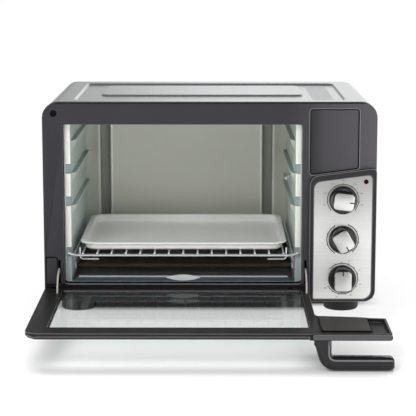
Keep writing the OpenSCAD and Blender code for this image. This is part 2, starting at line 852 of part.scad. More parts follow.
// Switch unit behind a dial, with the bush that its shaft turns in
module switch_unit(i, tone) {
  color(tone) difference() {
    union() {
      block([dial_x - unit_w / 2, y_in, dial_z[i] - unit_h / 2],
        [dial_x + unit_w / 2, y_in + unit_d, dial_z[i] + unit_h / 2]);
      rod_y(plate_y + plate_t + bush_back, y_in + eps, dial_x, dial_z[i], bush_d / 2);
    }
    rod_y(plate_y, y_in + shaft_in, dial_x, dial_z[i], shaft_d / 2 + shaft_play);
  }
}

module timer() {
  switch_unit(0, [0.7, 0.68, 0.6]);
}

module mode_switch() {
  switch_unit(1, [0.2, 0.2, 0.22]);
}

module thermostat() {
  switch_unit(2, [0.85, 0.85, 0.8]);
}

// Cavity

// Section of a rib that stands off a side wall at s, towards the other wall
function rib_section(x, s, top) = let (root = x - s * liner_t / 2)
  [[root, top], [x + s * rib_depth, top], [x + s * rib_depth, top - rib_flat], [x, top - rib_h],
    [root, top - rib_h]];

// Flat height of a rib, and its distances from the frame and the back wall
rib_flat = 13;
rib_front = 6;
rib_back = 4;
// Laps of the liner's flanges behind the frame
flange_lap = 2;
roof_lap = 1;
rod_hole = rod_d / 2 + bush_t + slip;

// Side wall whose inner face lies at x and whose cavity side is s
module side_wall(x, s) {
  color([0.62, 0.64, 0.6]) difference() {
    union() {
      block([min(x, x - s * liner_t), y_in, liner_z0 - liner_t],
        [max(x, x - s * liner_t), liner_y1, liner_z1]);
      block([min(x, x - s * (flange_w + flange_lap)), y_in, liner_z0 - liner_t],
        [max(x, x - s * (flange_w + flange_lap)), y_in + liner_t, liner_z1]);
      for (rise = rib_levels) {
        upright(rib_section(x, s, rack_level + rise), y_in + rib_front, liner_y1 - rib_back);
      }
    }
    for (y = rod_rows, z = rod_levels) rod_x(x - rib_depth - eps, x + rib_depth + eps, y, z, rod_hole);
    children();
  }
}

// Holes in front of the fan's wheel
module fan_holes() {
  n = floor((fan_r - hole_d) / hole_pitch);
  for (i = [-n:n], j = [-n:n]) {
    if (norm([i, j]) <= n) {
      rod_x(liner_x1 - rib_depth - eps, duct_x0 + eps, fan_y + i * hole_pitch, fan_z + j * hole_pitch,
        hole_d / 2);
    }
  }
}

module cavity_left_wall() {
  side_wall(liner_x0, 1);
}

module cavity_right_wall() {
  side_wall(liner_x1, -1) fan_holes();
}

// Gaps from the flutes' ends to the floor and the roof, and the slope of their sides
flute_low = 12;
flute_high = 22;
flute_slope = flute_w / 8;

// Section of a flute that starts at x, grown by the sheet's thickness for its outside
function flute_section(x, grow) = [[x - grow, liner_y1 - eps], [x + flute_w + grow, liner_y1 - eps],
  [x + flute_w + grow - flute_slope, liner_y1 + flute_depth + grow],
  [x - grow + flute_slope, liner_y1 + flute_depth + grow]];

module cavity_back_wall() {
  flutes = [liner_x0 + flute_side, liner_x1 - flute_side - flute_w];
  color([0.58, 0.6, 0.56]) difference() {
    union() {
      block([liner_x0 - liner_t, liner_y1, liner_z0 - liner_t],
        [liner_x1 + liner_t, liner_y1 + liner_t, liner_z1]);
      intersection() {
        for (x = flutes) level(flute_section(x, liner_t), liner_z0 + flute_low - liner_t,
          liner_z1 - flute_high + liner_t);
        block([liner_x0, liner_y1, liner_z0], [liner_x1, liner_y1 + 2 * flute_depth, liner_z1]);
      }
    }
    for (x = flutes) level(flute_section(x, 0), liner_z0 + flute_low, liner_z1 - flute_high);
  }
}

module cavity_roof() {
  color([0.6, 0.62, 0.58]) union() {
    block([liner_x0 - liner_t, y_in, liner_z1], [liner_x1 + liner_t, liner_y1 + liner_t,
      liner_z1 + liner_t]);
    block([liner_x0 + slip, y_in, mouth_z1 - roof_lap], [liner_x1 - slip, y_in + liner_t, liner_z1 + eps]);
  }
}

module cavity_floor() {
  color([0.5, 0.52, 0.5]) {
    block([liner_x0, y_in, liner_z0 - liner_t], [liner_x1, liner_y1, liner_z0]);
  }
}

// Heating rods and their bushes

module heating_rod(iy, iz) {
  color([0.45, 0.42, 0.4]) {
    rod_x(liner_x0 - liner_t - rod_end, liner_x1 + liner_t + rod_end, rod_rows[iy], rod_levels[iz],
      rod_d / 2);
  }
}

// Insulating bush: its flange, its length outside the wall and its reach into the cavity
bush_flange = 2;
bush_len = 7;
bush_in = 2;

module element_insulators() {
  color("white") for (s = [-1, 1], y = rod_rows, z = rod_levels) {
    wall_x = s < 0 ? liner_x0 - liner_t : liner_x1 + liner_t;
    translate([wall_x, y, z]) rotate([0, s * 90, 0]) difference() {
      union() {
        cylinder(h = bush_len, r = rod_hole + bush_flange);
        translate([0, 0, -liner_t - bush_in]) cylinder(h = liner_t + bush_in + eps, r = rod_hole - slip);
      }
      translate([0, 0, -liner_t - bush_in - eps]) {
        cylinder(h = bush_len + liner_t + bush_in + 2 * eps, r = rod_d / 2 + seat);
      }
    }
  }
}

// Fan behind the right wall

// Corner radius of the duct, and gap round the shaft in its back
duct_corner = 12;
duct_hole = 2;

function duct_outline(grow) = round_box(fan_y - duct_r - grow, fan_z - duct_r - grow, fan_y + duct_r + grow,
  fan_z + duct_r + grow, duct_corner);

module fan_duct() {
  color([0.7, 0.7, 0.72]) difference() {
    along_x(duct_outline(duct_t), duct_x0, motor_x0);
    along_x(duct_outline(0), duct_x0 - eps, duct_x1);
    rod_x(duct_x1 - eps, motor_x0 + eps, fan_y, fan_z, fan_shaft_d / 2 + duct_hole);
  }
}

// Motor: its bore for the shaft and its two fixing ears
motor_bore = 24;
ear_l = 6;
ear_w = 14;
ear_t = 4;

module fan_motor() {
  color([0.35, 0.35, 0.38]) difference() {
    union() {
      rod_x(motor_x0, motor_x0 + motor_l, fan_y, fan_z, motor_d / 2);
      block([motor_x0, fan_y - motor_d / 2 - ear_l, fan_z - ear_w / 2],
        [motor_x0 + ear_t, fan_y + motor_d / 2 + ear_l, fan_z + ear_w / 2]);
    }
    rod_x(motor_x0 - eps, motor_x0 + motor_bore, fan_y, fan_z, fan_shaft_d / 2 + shaft_play);
  }
}

// Fan wheel: its place, hub, sheet and blades
wheel_x = duct_x0 + fan_gap;
hub_r = 9;
fan_t = 1.2;
blades = 10;
blade_turn = 22;
blade_start = fan_r * 0.45;
blade_l = fan_r / 2;

module fan_shaft() {
  color("silver") rod_x(wheel_x, motor_x0 + motor_bore - shaft_end, fan_y, fan_z, fan_shaft_d / 2);
}

module fan_impeller() {
  color([0.75, 0.76, 0.78]) translate([wheel_x, fan_y, fan_z]) rotate([0, 90, 0]) difference() {
    union() {
      translate([0, 0, fan_w - fan_t]) cylinder(h = fan_t, r = fan_r);
      cylinder(h = fan_w, r = hub_r);
      for (i = [0:blades - 1]) rotate([0, 0, i * 360 / blades]) translate([blade_start, -fan_t / 2, 0]) {
        rotate([0, 0, blade_turn]) cube([blade_l, fan_t, fan_w]);
      }
    }
    translate([0, 0, -eps]) cylinder(h = fan_w + 2 * eps, r = fan_shaft_d / 2 + seat);
  }
}

// Small electrical pieces

// Thermostat's bulb on its clip, under the middle of the fan
bulb_d = 5;
bulb_l = 44;
bulb_off = 7;
bulb_drop = 22;
clip_w = 6;
clip_t = 3;

module sensor_bulb() {
  y = fan_y + duct_r;
  z = fan_z - bulb_drop;
  color("silver") union() {
    rod_y(y - bulb_l / 2, y + bulb_l / 2, liner_x1 - bulb_off, z, bulb_d / 2);
    block([liner_x1 - bulb_off, y - clip_w / 2, z - clip_t / 2],
      [liner_x1, y + clip_w / 2, z + clip_t / 2]);
  }
}

block_w = 44;
block_h = 20;
block_d = 20;
block_back = 26;
block_y = [wrap_y - block_back - block_d, wrap_y - block_back];
lane_gap = 1;
lane_x = 10;

module terminal_block() {
  color([0.9, 0.9, 0.86]) {
    block([dial_x - block_w / 2, block_y[0], z_base + base_t],
      [dial_x + block_w / 2, block_y[1], z_base + base_t + block_h]);
  }
}

// Wires from the terminal block to the units, with branches to the rods' right ends and the motor
module wiring_harness() {
  top = z_base + base_t + block_h + wire_d / 2;
  y0 = (block_y[0] + block_y[1]) / 2;
  y1 = y_in + unit_d + wire_d / 2;
  lanes = [motor_x0 + motor_l + wire_d / 2 + lane_gap, dial_x + lane_x];
  end_x = liner_x1 + liner_t + rod_end + wire_d / 2;
  color([0.85, 0.8, 0.7]) {
    for (i = [0, 1]) {
      wire_path([[lanes[i], y0, top], [lanes[i], y0, dial_z[i]], [lanes[i], y1, dial_z[i]]], wire_d);
    }
    for (i = [0, 1]) wire_path([[end_x, rod_rows[i], rod_levels[0]], [lanes[0], rod_rows[i], rod_levels[0]],
      [lanes[0], rod_rows[i], dial_z[0]]], wire_d);
    for (i = [0, 1]) wire_path([[end_x, rod_rows[i], rod_levels[1]], [lanes[1], rod_rows[i], rod_levels[1]],
      [lanes[1], rod_rows[i], dial_z[1]]], wire_d);
    motor_end = motor_x0 + motor_l + wire_d / 2;
    wire_path([[motor_end, fan_y, fan_z], [lanes[1], fan_y, fan_z], [lanes[1], fan_y, dial_z[1]]], wire_d);
    wire_path([[lanes[1], y1, dial_z[2]], [lanes[1], rod_rows[0], dial_z[2]]], wire_d);
  }
}

// Fuse on the roof: its place right of the middle, its body and its strap
fuse_side = 53;
fuse_l = 26;
fuse_r = 3;
strap_l = 12;
strap_w = 6;

module thermal_fuse() {
  x = liner_mid + fuse_side;
  y = y_in + cavity_d / 2;
  z = liner_z1 + liner_t;
  color("tan") union() {
    rod_x(x - fuse_l / 2, x + fuse_l / 2, y, z + fuse_r + 1, fuse_r);
    block([x - strap_w / 2, y - strap_l / 2, z], [x + strap_w / 2, y + strap_l / 2, z + fuse_r]);
  }
}

module cord_gland() {
  color("black") difference() {
    union() {
      rod_y(y_back, y_back + gland_flange, gland_x, gland_z, gland_d / 2);
      rod_y(y_back + gland_flange - gland_len, y_back + eps, gland_x, gland_z, gland_neck_r);
    }
    rod_y(y_back - gland_len, y_back + gland_flange + eps, gland_x, gland_z, gland_bore / 2);
  }
}

// Door

cover_x0 = door_x1 + wing_rim;
cover_x1 = cover_x0 + cover_w;
handle_y0 = door_far - arm_t;
// Screws that hold the handle: places from the cover's ends, heads inside the wing's rim, and their tips
handle_screw_x = [cover_x0 + 10, cover_x1 - 12];
handle_head_d = door_t - wing_base - 2 * slip;
handle_screw_z = door_out + wing_base + handle_head_d / 2 + slip;
handle_head_t = 1.6;
handle_tip = 1;
// Radii of the wing's two outer corners and of its opening
wing_corner_r = [5, 3];
wing_in_r = 3;
// Distance from the hinge axis to the start of the bevel
bevel_start = 8;
bevel_over = 2;

// Door outline from above: the main panel and the wing beside the control housing
door_points = outline([[door_x0, axis_y, 0], [door_x0, door_far, door_corner_r],
  [wing_x1, door_far, wing_corner_r[0]],
  [wing_x1, wing_y(wing_x1), wing_corner_r[1]], [door_x1, wing_y(door_x1), wing_r], [door_x1, axis_y, 0]]);

// Rounded edge on the hinge side, seen along X
rail_points = concat([[axis_y - 1, door_out]], arc([axis_y, axis_z], door_t / 2, 270, 450, 12),
  [[axis_y - 1, door_in]]);

// Opening in the wing between its rims
wing_in = wing_x1 - wing_rim;
wing_points = outline([[cover_x0, wing_y(cover_x0) - wing_rim, wing_in_r],
  [cover_x0, door_far + wing_rim, wing_in_r],
  [wing_in, door_far + wing_rim, wing_in_r], [wing_in, wing_y(wing_in) - wing_rim, wing_in_r]]);

// Bevel along the outer edge from p to q, with the door on its left
module bevel_cut(p, q) {
  mid = axis_z;
  turn = atan2(q[1] - p[1], q[0] - p[0]);
  section = [[-eps, mid + eps * (mid - door_out) / bevel_run], [-eps, door_out - 1],
    [bevel_run, door_out - 1],
    [bevel_run, door_out]];
  translate([p[0], p[1], 0]) rotate([0, 0, turn]) along_x(section, -bevel_over, norm(q - p) + bevel_over);
}

// Pocket for a stay's end, cut down from the inner face
module stay_pocket(x) {
  r = stay_r + stay_w / 2 + slip;
  near = sqrt(pow(stay_r - stay_w / 2, 2) - pow(door_t / 2, 2)) - slip;
  block([x - stay_t / 2 - seat, axis_y - r, axis_z - r * sin(stay_end[0] - 180) - slip],
    [x + stay_t / 2 + seat, axis_y - near, door_in + eps]);
}

module door_frame() {
  corner = door_corner_r * (2 - sqrt(2));
  color([0.19, 0.18, 0.18]) difference() {
    union() {
      level(door_points, door_out, door_in);
      along_x(rail_points, door_x0, door_x1);
    }
    level(round_box(pane_x0, pane_y0, pane_x1, pane_y1, pane_r), door_out - eps, door_in + eps);
    level(round_box(pane_x0 - glass_lap, pane_y0 - glass_lap, pane_x1 + glass_lap, pane_y1 + glass_lap,
      pane_r),
      door_out - eps, door_in - glass_lip);
    level(wing_points, door_out + wing_base, door_in + eps);
    for (x = [lug_l, lug_r]) {
      block([x - lug_gap, axis_y - lug_reach, door_out - eps],
        [x + lug_w + lug_gap, y_front, door_in + eps]);
    }
    rod_x(door_x0 - eps, pin_x[0][1] + eps, axis_y, axis_z, hinge_pin_d / 2 + hinge_play);
    rod_x(pin_x[1][0] - eps, door_x1 + eps, axis_y, axis_z, hinge_pin_d / 2 + hinge_play);
    for (x = stay_x) stay_pocket(x);
    for (x = handle_screw_x) {
      rod_y(door_far - eps, door_far + wing_rim + eps, x, handle_screw_z, handle_screw_d / 2 + seat);
    }
    bevel_cut([door_x0, axis_y - bevel_start], [door_x0, door_far]);
    bevel_cut([door_x0, door_far + corner], [door_x0 + corner, door_far]);
    bevel_cut([door_x0, door_far], [leg_x0 - bevel_run, door_far]);
  }
}

module door_glass() {
  g = glass_lap - glass_gap;
  color([0.7, 0.75, 0.75, 0.35]) {
    level(round_box(pane_x0 - g, pane_y0 - g, pane_x1 + g, pane_y1 + g, pane_r),
      door_in - glass_lip - glass_t, door_in - glass_lip);
  }
}

module glass_retainer() {
  g = glass_lap - slip;
  color([0.22, 0.21, 0.21]) difference() {
    level(round_box(pane_x0 - g, pane_y0 - g, pane_x1 + g, pane_y1 + g, pane_r), door_out,
      door_in - glass_lip - glass_t);
    level(round_box(pane_x0, pane_y0, pane_x1, pane_y1, pane_r), door_out - eps, door_in);
  }
}

// Corner radius of the inner cover and the gap at its near edge
cover_r = 2;
cover_near = cover_gap + 2;

// Outline of the inner cover, drawn in by a distance
function cover_outline(inset) =
  let (x0 = cover_x0 + cover_gap + inset, x1 = cover_x1 - inset,
    y0 = door_far + wing_rim + cover_far + inset)
  let (edge = wing_rim + cover_near + inset)
  outline([[x0, y0, cover_r], [x1, y0, cover_r], [x1, wing_y(x1) - edge, cover_r],
    [x0, wing_y(x0) - edge, cover_r]]);

module handle_cover() {
  top = door_in + cover_rise;
  color([0.16, 0.16, 0.16]) difference() {
    level(cover_outline(0), door_out + wing_base, top);
    level(cover_outline(cover_t), door_out + wing_base - eps, top - cover_t);
  }
}

bar_z0 = door_out - handle_reach;
bar_z1 = bar_z0 + bar_h;
leg_x0 = door_x1 - leg_out;
leg_foot = leg_x0 + leg_lean;
arm_z = [door_out + 1, door_in - 0.5];
arm_r = 3;
// Drop of the bar's back edge, run of its end past the wing, and radii and reach of the leg
bar_drop = 4;
bar_past = 3;
leg_top_r = 2;
leg_foot_r = 14;
leg_in_r = 4;
leg_run = 6;

// Section of the grip bar in Y and Z: a flat nose, a rounded shoulder and a flat back
bar_points = concat([[handle_y0 + bar_d, bar_z0], [handle_y0 + bar_d, bar_z1 - bar_drop]],
  [for (a = [90:-11.25:0]) [handle_y0 + (bar_d - bar_drop) * (1 - cos(a)),
    bar_z0 + bar_nose + (bar_h - bar_nose) * sin(a)]], [[handle_y0, bar_z0]]);

// Leg of the handle seen from the front, leaning in towards its foot
leg_x1 = leg_foot + leg_w;
leg_points = outline([[leg_x0, arm_z[1], leg_top_r], [leg_foot, bar_z0, leg_foot_r],
  [leg_x1 + leg_run, bar_z0, 0],
  [leg_x1 + leg_run, bar_z1, 0], [leg_x1, bar_z1, leg_in_r], [leg_x1, arm_z[0], leg_in_r],
  [leg_x1 + leg_run, arm_z[0], 0], [leg_x1 + leg_run, arm_z[1], 0]]);

module door_handle() {
  color([0.13, 0.13, 0.13]) difference() {
    union() {
      upright(outline([[leg_x1, arm_z[0], 0], [wing_x1, arm_z[0], arm_r], [wing_x1, arm_z[1], arm_r],
        [leg_x1, arm_z[1], 0]]), handle_y0, door_far);
      upright(leg_points, handle_y0, door_far);
      intersection() {
        upright(leg_points, handle_y0, handle_y0 + bar_d);
        block([leg_x0, handle_y0, bar_z0], [leg_x1 + leg_run, handle_y0 + bar_d, door_out]);
      }
      along_x(bar_points, leg_x1 + leg_run / 3, wing_x1 + bar_past);
    }
    for (x = handle_screw_x) {
      rod_y(handle_y0 + handle_tip, door_far + eps, x, handle_screw_z, handle_screw_d / 2 + seat);
    }
  }
}

module handle_screws() {
  head_y = door_far + wing_rim;
  color("silver") for (x = handle_screw_x) {
    rod_y(head_y, head_y + handle_head_t, x, handle_screw_z, handle_head_d / 2);
    rod_y(handle_y0 + handle_tip + slip, head_y + eps, x, handle_screw_z, handle_screw_d / 2);
  }
}

// Curved steel arm that runs from the door into the slot in the frame
module door_stay(i) {
  c = [axis_y, axis_z];
  color("silver") along_x(concat(arc(c, stay_r + stay_w / 2, stay_end[0], stay_end[1], 18),
    arc(c, stay_r - stay_w / 2, stay_end[1], stay_end[0], 18)), stay_x[i] - stay_t / 2,
      stay_x[i] + stay_t / 2);
}

// Rack, pan and tray

// Hooks of the rack: inset from its sides, run, height, and place behind and under the front bar
rack_hook_in = 9;
rack_hook_l = 26;
rack_hook_h = 13;
rack_hook_back = 3;
rack_hook_low = 1;
// Upturned ends of the front bar, its seat on the side wires, and margin of the cross wires at the sides
ear_run = 10;
ear_lift = 5;
ear_back = 2;
front_seat = 2;
cross_side = 8;

// Bar frame, cross wires and two hooks that keep the pan from sliding forward
module wire_rack() {
  span = rack_x1 - rack_x0;
  n = floor((span - 2 * cross_side) / cross_pitch);
  first = liner_mid - n * cross_pitch / 2;
  ear_y = rack_y0 + ear_back;
  front_z = bar_z + front_seat;
  ear_z = front_z + ear_lift;
  color("silver") union() {
    wire_path([[liner_x0 - rack_ear, ear_y, ear_z], [liner_x0 - rack_ear + ear_run, rack_y0, front_z],
      [liner_x1 + rack_ear - ear_run, rack_y0, front_z], [liner_x1 + rack_ear, ear_y, ear_z]], bar_wire_d);
    wire([rack_x0, rack_y1, bar_z], [rack_x1, rack_y1, bar_z], bar_wire_d);
    for (x = [rack_x0, rack_x1]) wire([x, ear_y, bar_z], [x, rack_y1, bar_z], bar_wire_d - 1);
    for (i = [0:n]) {
      x = first + i * cross_pitch;
      wire([x, rack_y0, cross_z], [x, rack_y1, cross_z], cross_wire_d);
    }
    for (s = [-1, 1]) {
      x = s < 0 ? rack_x0 + rack_hook_in : rack_x1 - rack_hook_in;
      y = rack_y0 + rack_hook_back;
      z = bar_z - rack_hook_low;
      wire_path([[x, y, z + rack_hook_h], [x, y, z], [x - s * rack_hook_l, y, z]], cross_wire_d);
    }
  }
}

pan_x0 = liner_x0 + pan_side;
pan_x1 = liner_x1 - pan_side;
pan_y0 = y_in + pan_front;
pan_y1 = pan_y0 + pan_d;

function pan_outline(inset) =
  round_box(pan_x0 + inset, pan_y0 + inset, pan_x1 - inset, pan_y1 - inset, pan_r - inset);

module bake_pan() {
  color([0.8, 0.8, 0.79]) difference() {
    union() {
      level(pan_outline(pan_rim), pan_z, pan_z + pan_h);
      level(pan_outline(0), pan_z + pan_h - pan_t, pan_z + pan_h);
    }
    level(pan_outline(pan_rim + pan_t), pan_z + pan_t, pan_z + pan_h + eps);
  }
}

tray_x0 = liner_x0 + tray_side;
tray_x1 = liner_x1 - tray_side;
tray_y0 = y_in + tray_front;
tray_y1 = liner_y1 - tray_back;
// Corner radius of the tray's lip, and height and thickness of its tab
lip_r = 5;
tab_rise = 5.2;
tab_t = 1.5;

// Lens-shaped tab seen from the front
function lens_outline(x, z, w, h) =
  let (r = (w * w / h + h) / 4, half = asin(w / 2 / r))
  concat(arc([x, z + h / 2 - r], r, 90 - half, 90 + half, 10),
    [for (i = [1:9]) let (a = 270 - half + 2 * half * i / 10) [x, z - h / 2 + r] + r * [cos(a), sin(a)]]);

module crumb_tray() {
  top = tray_z + tray_wall;
  lip = tray_z + tray_lip;
  color([0.55, 0.6, 0.6]) union() {
    block([tray_x0, tray_y0, tray_z], [tray_x1, tray_y1, tray_z + tray_t]);
    for (x = [tray_x0, tray_x1 - tray_t]) block([x, tray_y0, tray_z], [x + tray_t, tray_y1, top]);
    block([tray_x0, tray_y1 - tray_t, tray_z], [tray_x1, tray_y1, top]);
    upright(outline([[tray_x0, tray_z, 0], [tray_x1, tray_z, 0], [tray_x1, lip, lip_r],
      [tray_x0, lip, lip_r]]),
      tray_y0, tray_y0 + tray_t);
    upright(lens_outline(liner_mid, tray_z + tab_rise, tab_w, tab_h), tray_y0 - tab_t, tray_y0 + eps);
  }
}

outer_wrap();
back_panel();
bottom_plate();
front_frame();
door_bumper();
hinge_pin(0);  // hinge_pin_left
hinge_pin(1);  // hinge_pin_right
control_housing();
control_plate();
indicator_lens();
indicator_lamp();
cavity_left_wall();
cavity_right_wall();
cavity_back_wall();
cavity_roof();
cavity_floor();
heating_rod(0, 1);  // upper_front_element
heating_rod(1, 1);  // upper_rear_element
heating_rod(0, 0);  // lower_front_element
heating_rod(1, 0);  // lower_rear_element
element_insulators();
fan_duct();
fan_motor();
fan_shaft();
fan_impeller();
thermostat();
sensor_bulb();
mode_switch();
timer();
terminal_block();
wiring_harness();
thermal_fuse();
cord_gland();
foot(0);  // foot_front_left
foot(1);  // foot_front_right
foot(2);  // foot_rear_left
foot(3);  // foot_rear_right
foot_screws();
case_screws();
dial_shaft(2);  // temperature_shaft
knob(2);  // temperature_knob
knob_cap(2);  // temperature_cap
dial_shaft(1);  // mode_shaft
knob(1);  // mode_knob
knob_cap(1);  // mode_cap
dial_shaft(0);  // timer_shaft
knob(0);  // timer_knob
knob_cap(0);  // timer_cap
door_frame();
door_glass();
glass_retainer();
handle_cover();
door_handle();
handle_screws();
door_stay(0);  // door_stay_left
door_stay(1);  // door_stay_right
wire_rack();
bake_pan();
crumb_tray();
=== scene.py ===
# Looks of a countertop air fryer oven with its door open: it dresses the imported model, in metres.
from functools import partialmethod
from math import cos, hypot, pi, radians, sin, sqrt

import bmesh
import bpy
from mathutils import Matrix, Vector


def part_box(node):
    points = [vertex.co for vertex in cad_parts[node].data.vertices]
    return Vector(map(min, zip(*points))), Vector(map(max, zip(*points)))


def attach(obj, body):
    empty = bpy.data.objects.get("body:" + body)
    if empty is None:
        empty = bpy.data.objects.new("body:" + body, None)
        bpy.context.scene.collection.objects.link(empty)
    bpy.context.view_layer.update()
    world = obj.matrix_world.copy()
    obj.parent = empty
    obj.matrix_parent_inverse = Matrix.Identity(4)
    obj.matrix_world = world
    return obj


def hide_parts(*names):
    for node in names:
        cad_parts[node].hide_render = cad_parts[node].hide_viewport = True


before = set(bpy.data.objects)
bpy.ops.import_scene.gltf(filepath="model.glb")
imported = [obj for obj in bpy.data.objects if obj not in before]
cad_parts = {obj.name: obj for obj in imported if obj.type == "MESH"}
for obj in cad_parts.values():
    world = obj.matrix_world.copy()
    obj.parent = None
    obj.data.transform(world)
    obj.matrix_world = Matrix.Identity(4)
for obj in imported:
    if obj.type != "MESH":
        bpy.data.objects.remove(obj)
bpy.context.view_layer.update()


# Feet: four round feet of black moulded plastic under the corners of the casing.
# Each is one moulding with a ribbed waist and a rounded lower edge, and a steel screw in a well
# holds it to the bottom plate.
class Wire:
    """Output of a node that takes part in Python arithmetic, each step adding one Math node."""

    def __init__(self, net, socket):
        self.net = net
        self.socket = socket

    def maths(self, operation, other=0.0, swapped=False):
        pair = (other, self) if swapped else (self, other)
        return self.net.node("ShaderNodeMath", dict(enumerate(pair)), operation=operation)

    __add__ = __radd__ = partialmethod(maths, "ADD")
    __sub__ = partialmethod(maths, "SUBTRACT")
    __rsub__ = partialmethod(maths, "SUBTRACT", swapped=True)
    __mul__ = __rmul__ = partialmethod(maths, "MULTIPLY")
    __pow__ = partialmethod(maths, "POWER")


class Net:
    """Node tree that adds a node, sets it up and joins its inputs, or joins a wire to its exit."""

    def __init__(self, tree):
        self.tree = tree
        tree.nodes.clear()

    def node(self, kind, inputs=None, out=0, **settings):
        made = self.tree.nodes.new(kind)
        for name, value in settings.items():
            setattr(made, name, value)
        for name, value in (inputs or {}).items():
            if isinstance(value, Wire):
                self.tree.links.new(value.socket, made.inputs[name])
            else:
                made.inputs[name].default_value = value
        return Wire(self, made.outputs[out])

    def send(self, wire, kind, name="Surface"):
        self.tree.links.new(wire.socket, self.tree.nodes.new(kind).inputs[name])


def shade(red, green, blue):
    """Colour from its 0 to 255 screen values to the light values that a shader takes."""
    parts = [v / 255 for v in (red, green, blue)]
    return [*(p / 12.92 if p < 0.04045 else ((p + 0.055) / 1.055) ** 2.4 for p in parts), 1.0]


class Finish(Net):
    """Material that is worked out over the surface from Object coordinates."""

    def __init__(self, name):
        self.material = bpy.data.materials.new(name)
        self.material.use_nodes = True
        super().__init__(self.material.node_tree)

    def place(self, stretch=(1, 1, 1)):
        where = self.node("ShaderNodeTexCoord", out="Object")
        return self.node("ShaderNodeMapping", {"Vector": where, "Scale": stretch})

    def noise(self, scale, detail=2.0, stretch=(1, 1, 1)):
        return self.node("ShaderNodeTexNoise",
                         {"Vector": self.place(stretch), "Scale": scale, "Detail": detail})

    def along(self, axis, start, end):
        """0 to 1 between two places along an axis of the object."""
        where = self.node("ShaderNodeTexCoord", out="Object")
        place = self.node("ShaderNodeSeparateXYZ", {"Vector": where}, out=axis)
        return self.node("ShaderNodeMapRange", {"Value": place, "From Min": start, "From Max": end})

    def tint(self, factor, dark, light):
        return self.node("ShaderNodeMix", {0: factor, 6: dark, 7: light}, out=2, data_type="RGBA")

    def toned(self, factor, colour, low, high):
        """One colour between a darker and a lighter tone of it."""
        dark, light = ([*(c * share for c in colour[:3]), 1.0] for share in (low, high))
        return self.tint(factor, dark, light)

    def relief(self, height, depth):
        return self.node("ShaderNodeBump", {"Height": height, "Distance": depth})

    def end(self, surface):
        self.send(surface, "ShaderNodeOutputMaterial")
        return self.material

    def skin(self, **sockets):
        named = {name.replace("_", " "): value for name, value in sockets.items()}
        return self.end(self.node("ShaderNodeBsdfPrincipled", named))


def moulded(name, colour, rough, grain, coat=0.0, shine=0.4, retone=None):
    """Moulded plastic: fine matt grain, faint flow marks in the colour and an uneven gloss."""
    finish = Finish(name)
    flow = finish.noise(14, 3)
    speck = finish.noise(1500, 1)
    tone = finish.toned(flow, colour, 0.88, 1.12)
    return finish.skin(Base_Color=retone(finish, tone) if retone else tone,
                       Roughness=flow * 0.1 + speck * 0.06 + (rough - 0.08), Coat_Weight=coat,
                       Coat_Roughness=0.12, Specular_IOR_Level=shine, Normal=finish.relief(speck, grain))


def skinned(rings, loop=False):
    """Closed shape through rings of equally many points, capped at both ends or joined into a loop."""
    shape = bmesh.new()
    loops = [[shape.verts.new(p) for p in ring] for ring in rings]
    pairs = list(zip(loops, loops[1:]))
    if loop:
        pairs.append((loops[-1], loops[0]))
    else:
        shape.faces.new(loops[0])
        shape.faces.new(loops[-1])
    for low, high in pairs:
        for i in range(len(low)):
            j = (i + 1) % len(low)
            shape.faces.new((low[i], low[j], high[j], high[i]))
    bmesh.ops.recalc_face_normals(shape, faces=shape.faces)
    return shape


def turned(profile, at=(0, 0, 0), way=(0, 0, 1), loop=False, sides=64):
    """Shape turned from (radius, height) points, standing at a place with its axis along a way."""
    angles = [2 * pi * i / sides for i in range(sides)]
    shape = skinned([[(r * cos(a), r * sin(a), h) for a in angles] for r, h in profile], loop)
    turn = Vector((0, 0, 1)).rotation_difference(Vector(way)).to_matrix().to_4x4()
    shape.transform(Matrix.Translation(at) @ turn)
    return shape


def added(name, data):
    """Object with some data, put into the scene."""
    made = bpy.data.objects.new(name, data)
    bpy.context.scene.collection.objects.link(made)
    return made


def shown(name, shape, material, body, slot, *nodes, crease=38, more=()):
    """Piece of a shape, smooth between creases and cut edges, with its finishes and body, hiding its nodes;
    the slot is not used.
    """
    mesh = bpy.data.meshes.new(name)
    shape.edges.index_update()
    cut_edges = [edge.index for edge in shape.edges if edge.is_boundary]
    shape.to_mesh(mesh)
    shape.free()
    mesh.shade_smooth()
    mesh.set_sharp_from_angle(angle=radians(crease))
    for i in cut_edges:
        mesh.edges[i].use_edge_sharp = True
    for finish in (material, *more):
        mesh.materials.append(finish)
    piece = added(name, mesh)
    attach(piece, body)
    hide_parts(*nodes)
    return piece


def span(node):
    """Low and high corner of a CAD node's box, its middle and half its size."""
    low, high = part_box(node)
    return low, high, (low + high) / 2, (high - low) / 2


foot_finish = moulded("foot plastic", shade(26, 25, 26), 0.5, 0.00002)
foot_taper, foot_edge, foot_waist, foot_collar, collar_edge = 0.002, 0.0035, 0.0009, 0.008, 0.0008
waist_low, waist_high = 0.0012, 0.0004
well_r, well_h, well_edge, screw_r = 0.005, 0.006, 0.0006, 0.00152
for foot in ("foot_front_left", "foot_front_right", "foot_rear_left", "foot_rear_right"):
    low, high, middle, half = span(foot)
    foot_r, top = half.x, high.z
    waist_r, shoulder = foot_r - foot_waist, top - foot_collar
    corner = [(foot_r - foot_taper - foot_edge * (1 - sin(a)), foot_edge * (1 - cos(a)))
              for a in (0, 0.4, 0.8, 1.2, pi / 2)]
    profile = [(screw_r, top), (screw_r, well_h), (well_r, well_h), (well_r, well_edge),
               (well_r + well_edge, 0), *corner, (waist_r, shoulder - waist_low),
               (waist_r, shoulder - waist_high), (foot_r, shoulder), (foot_r, top - collar_edge),
               (foot_r - collar_edge, top)]
    shown(foot + "_moulding", turned(profile, (middle.x, middle.y, 0), loop=True), foot_finish, "cabinet",
          "foot_plastic", foot)


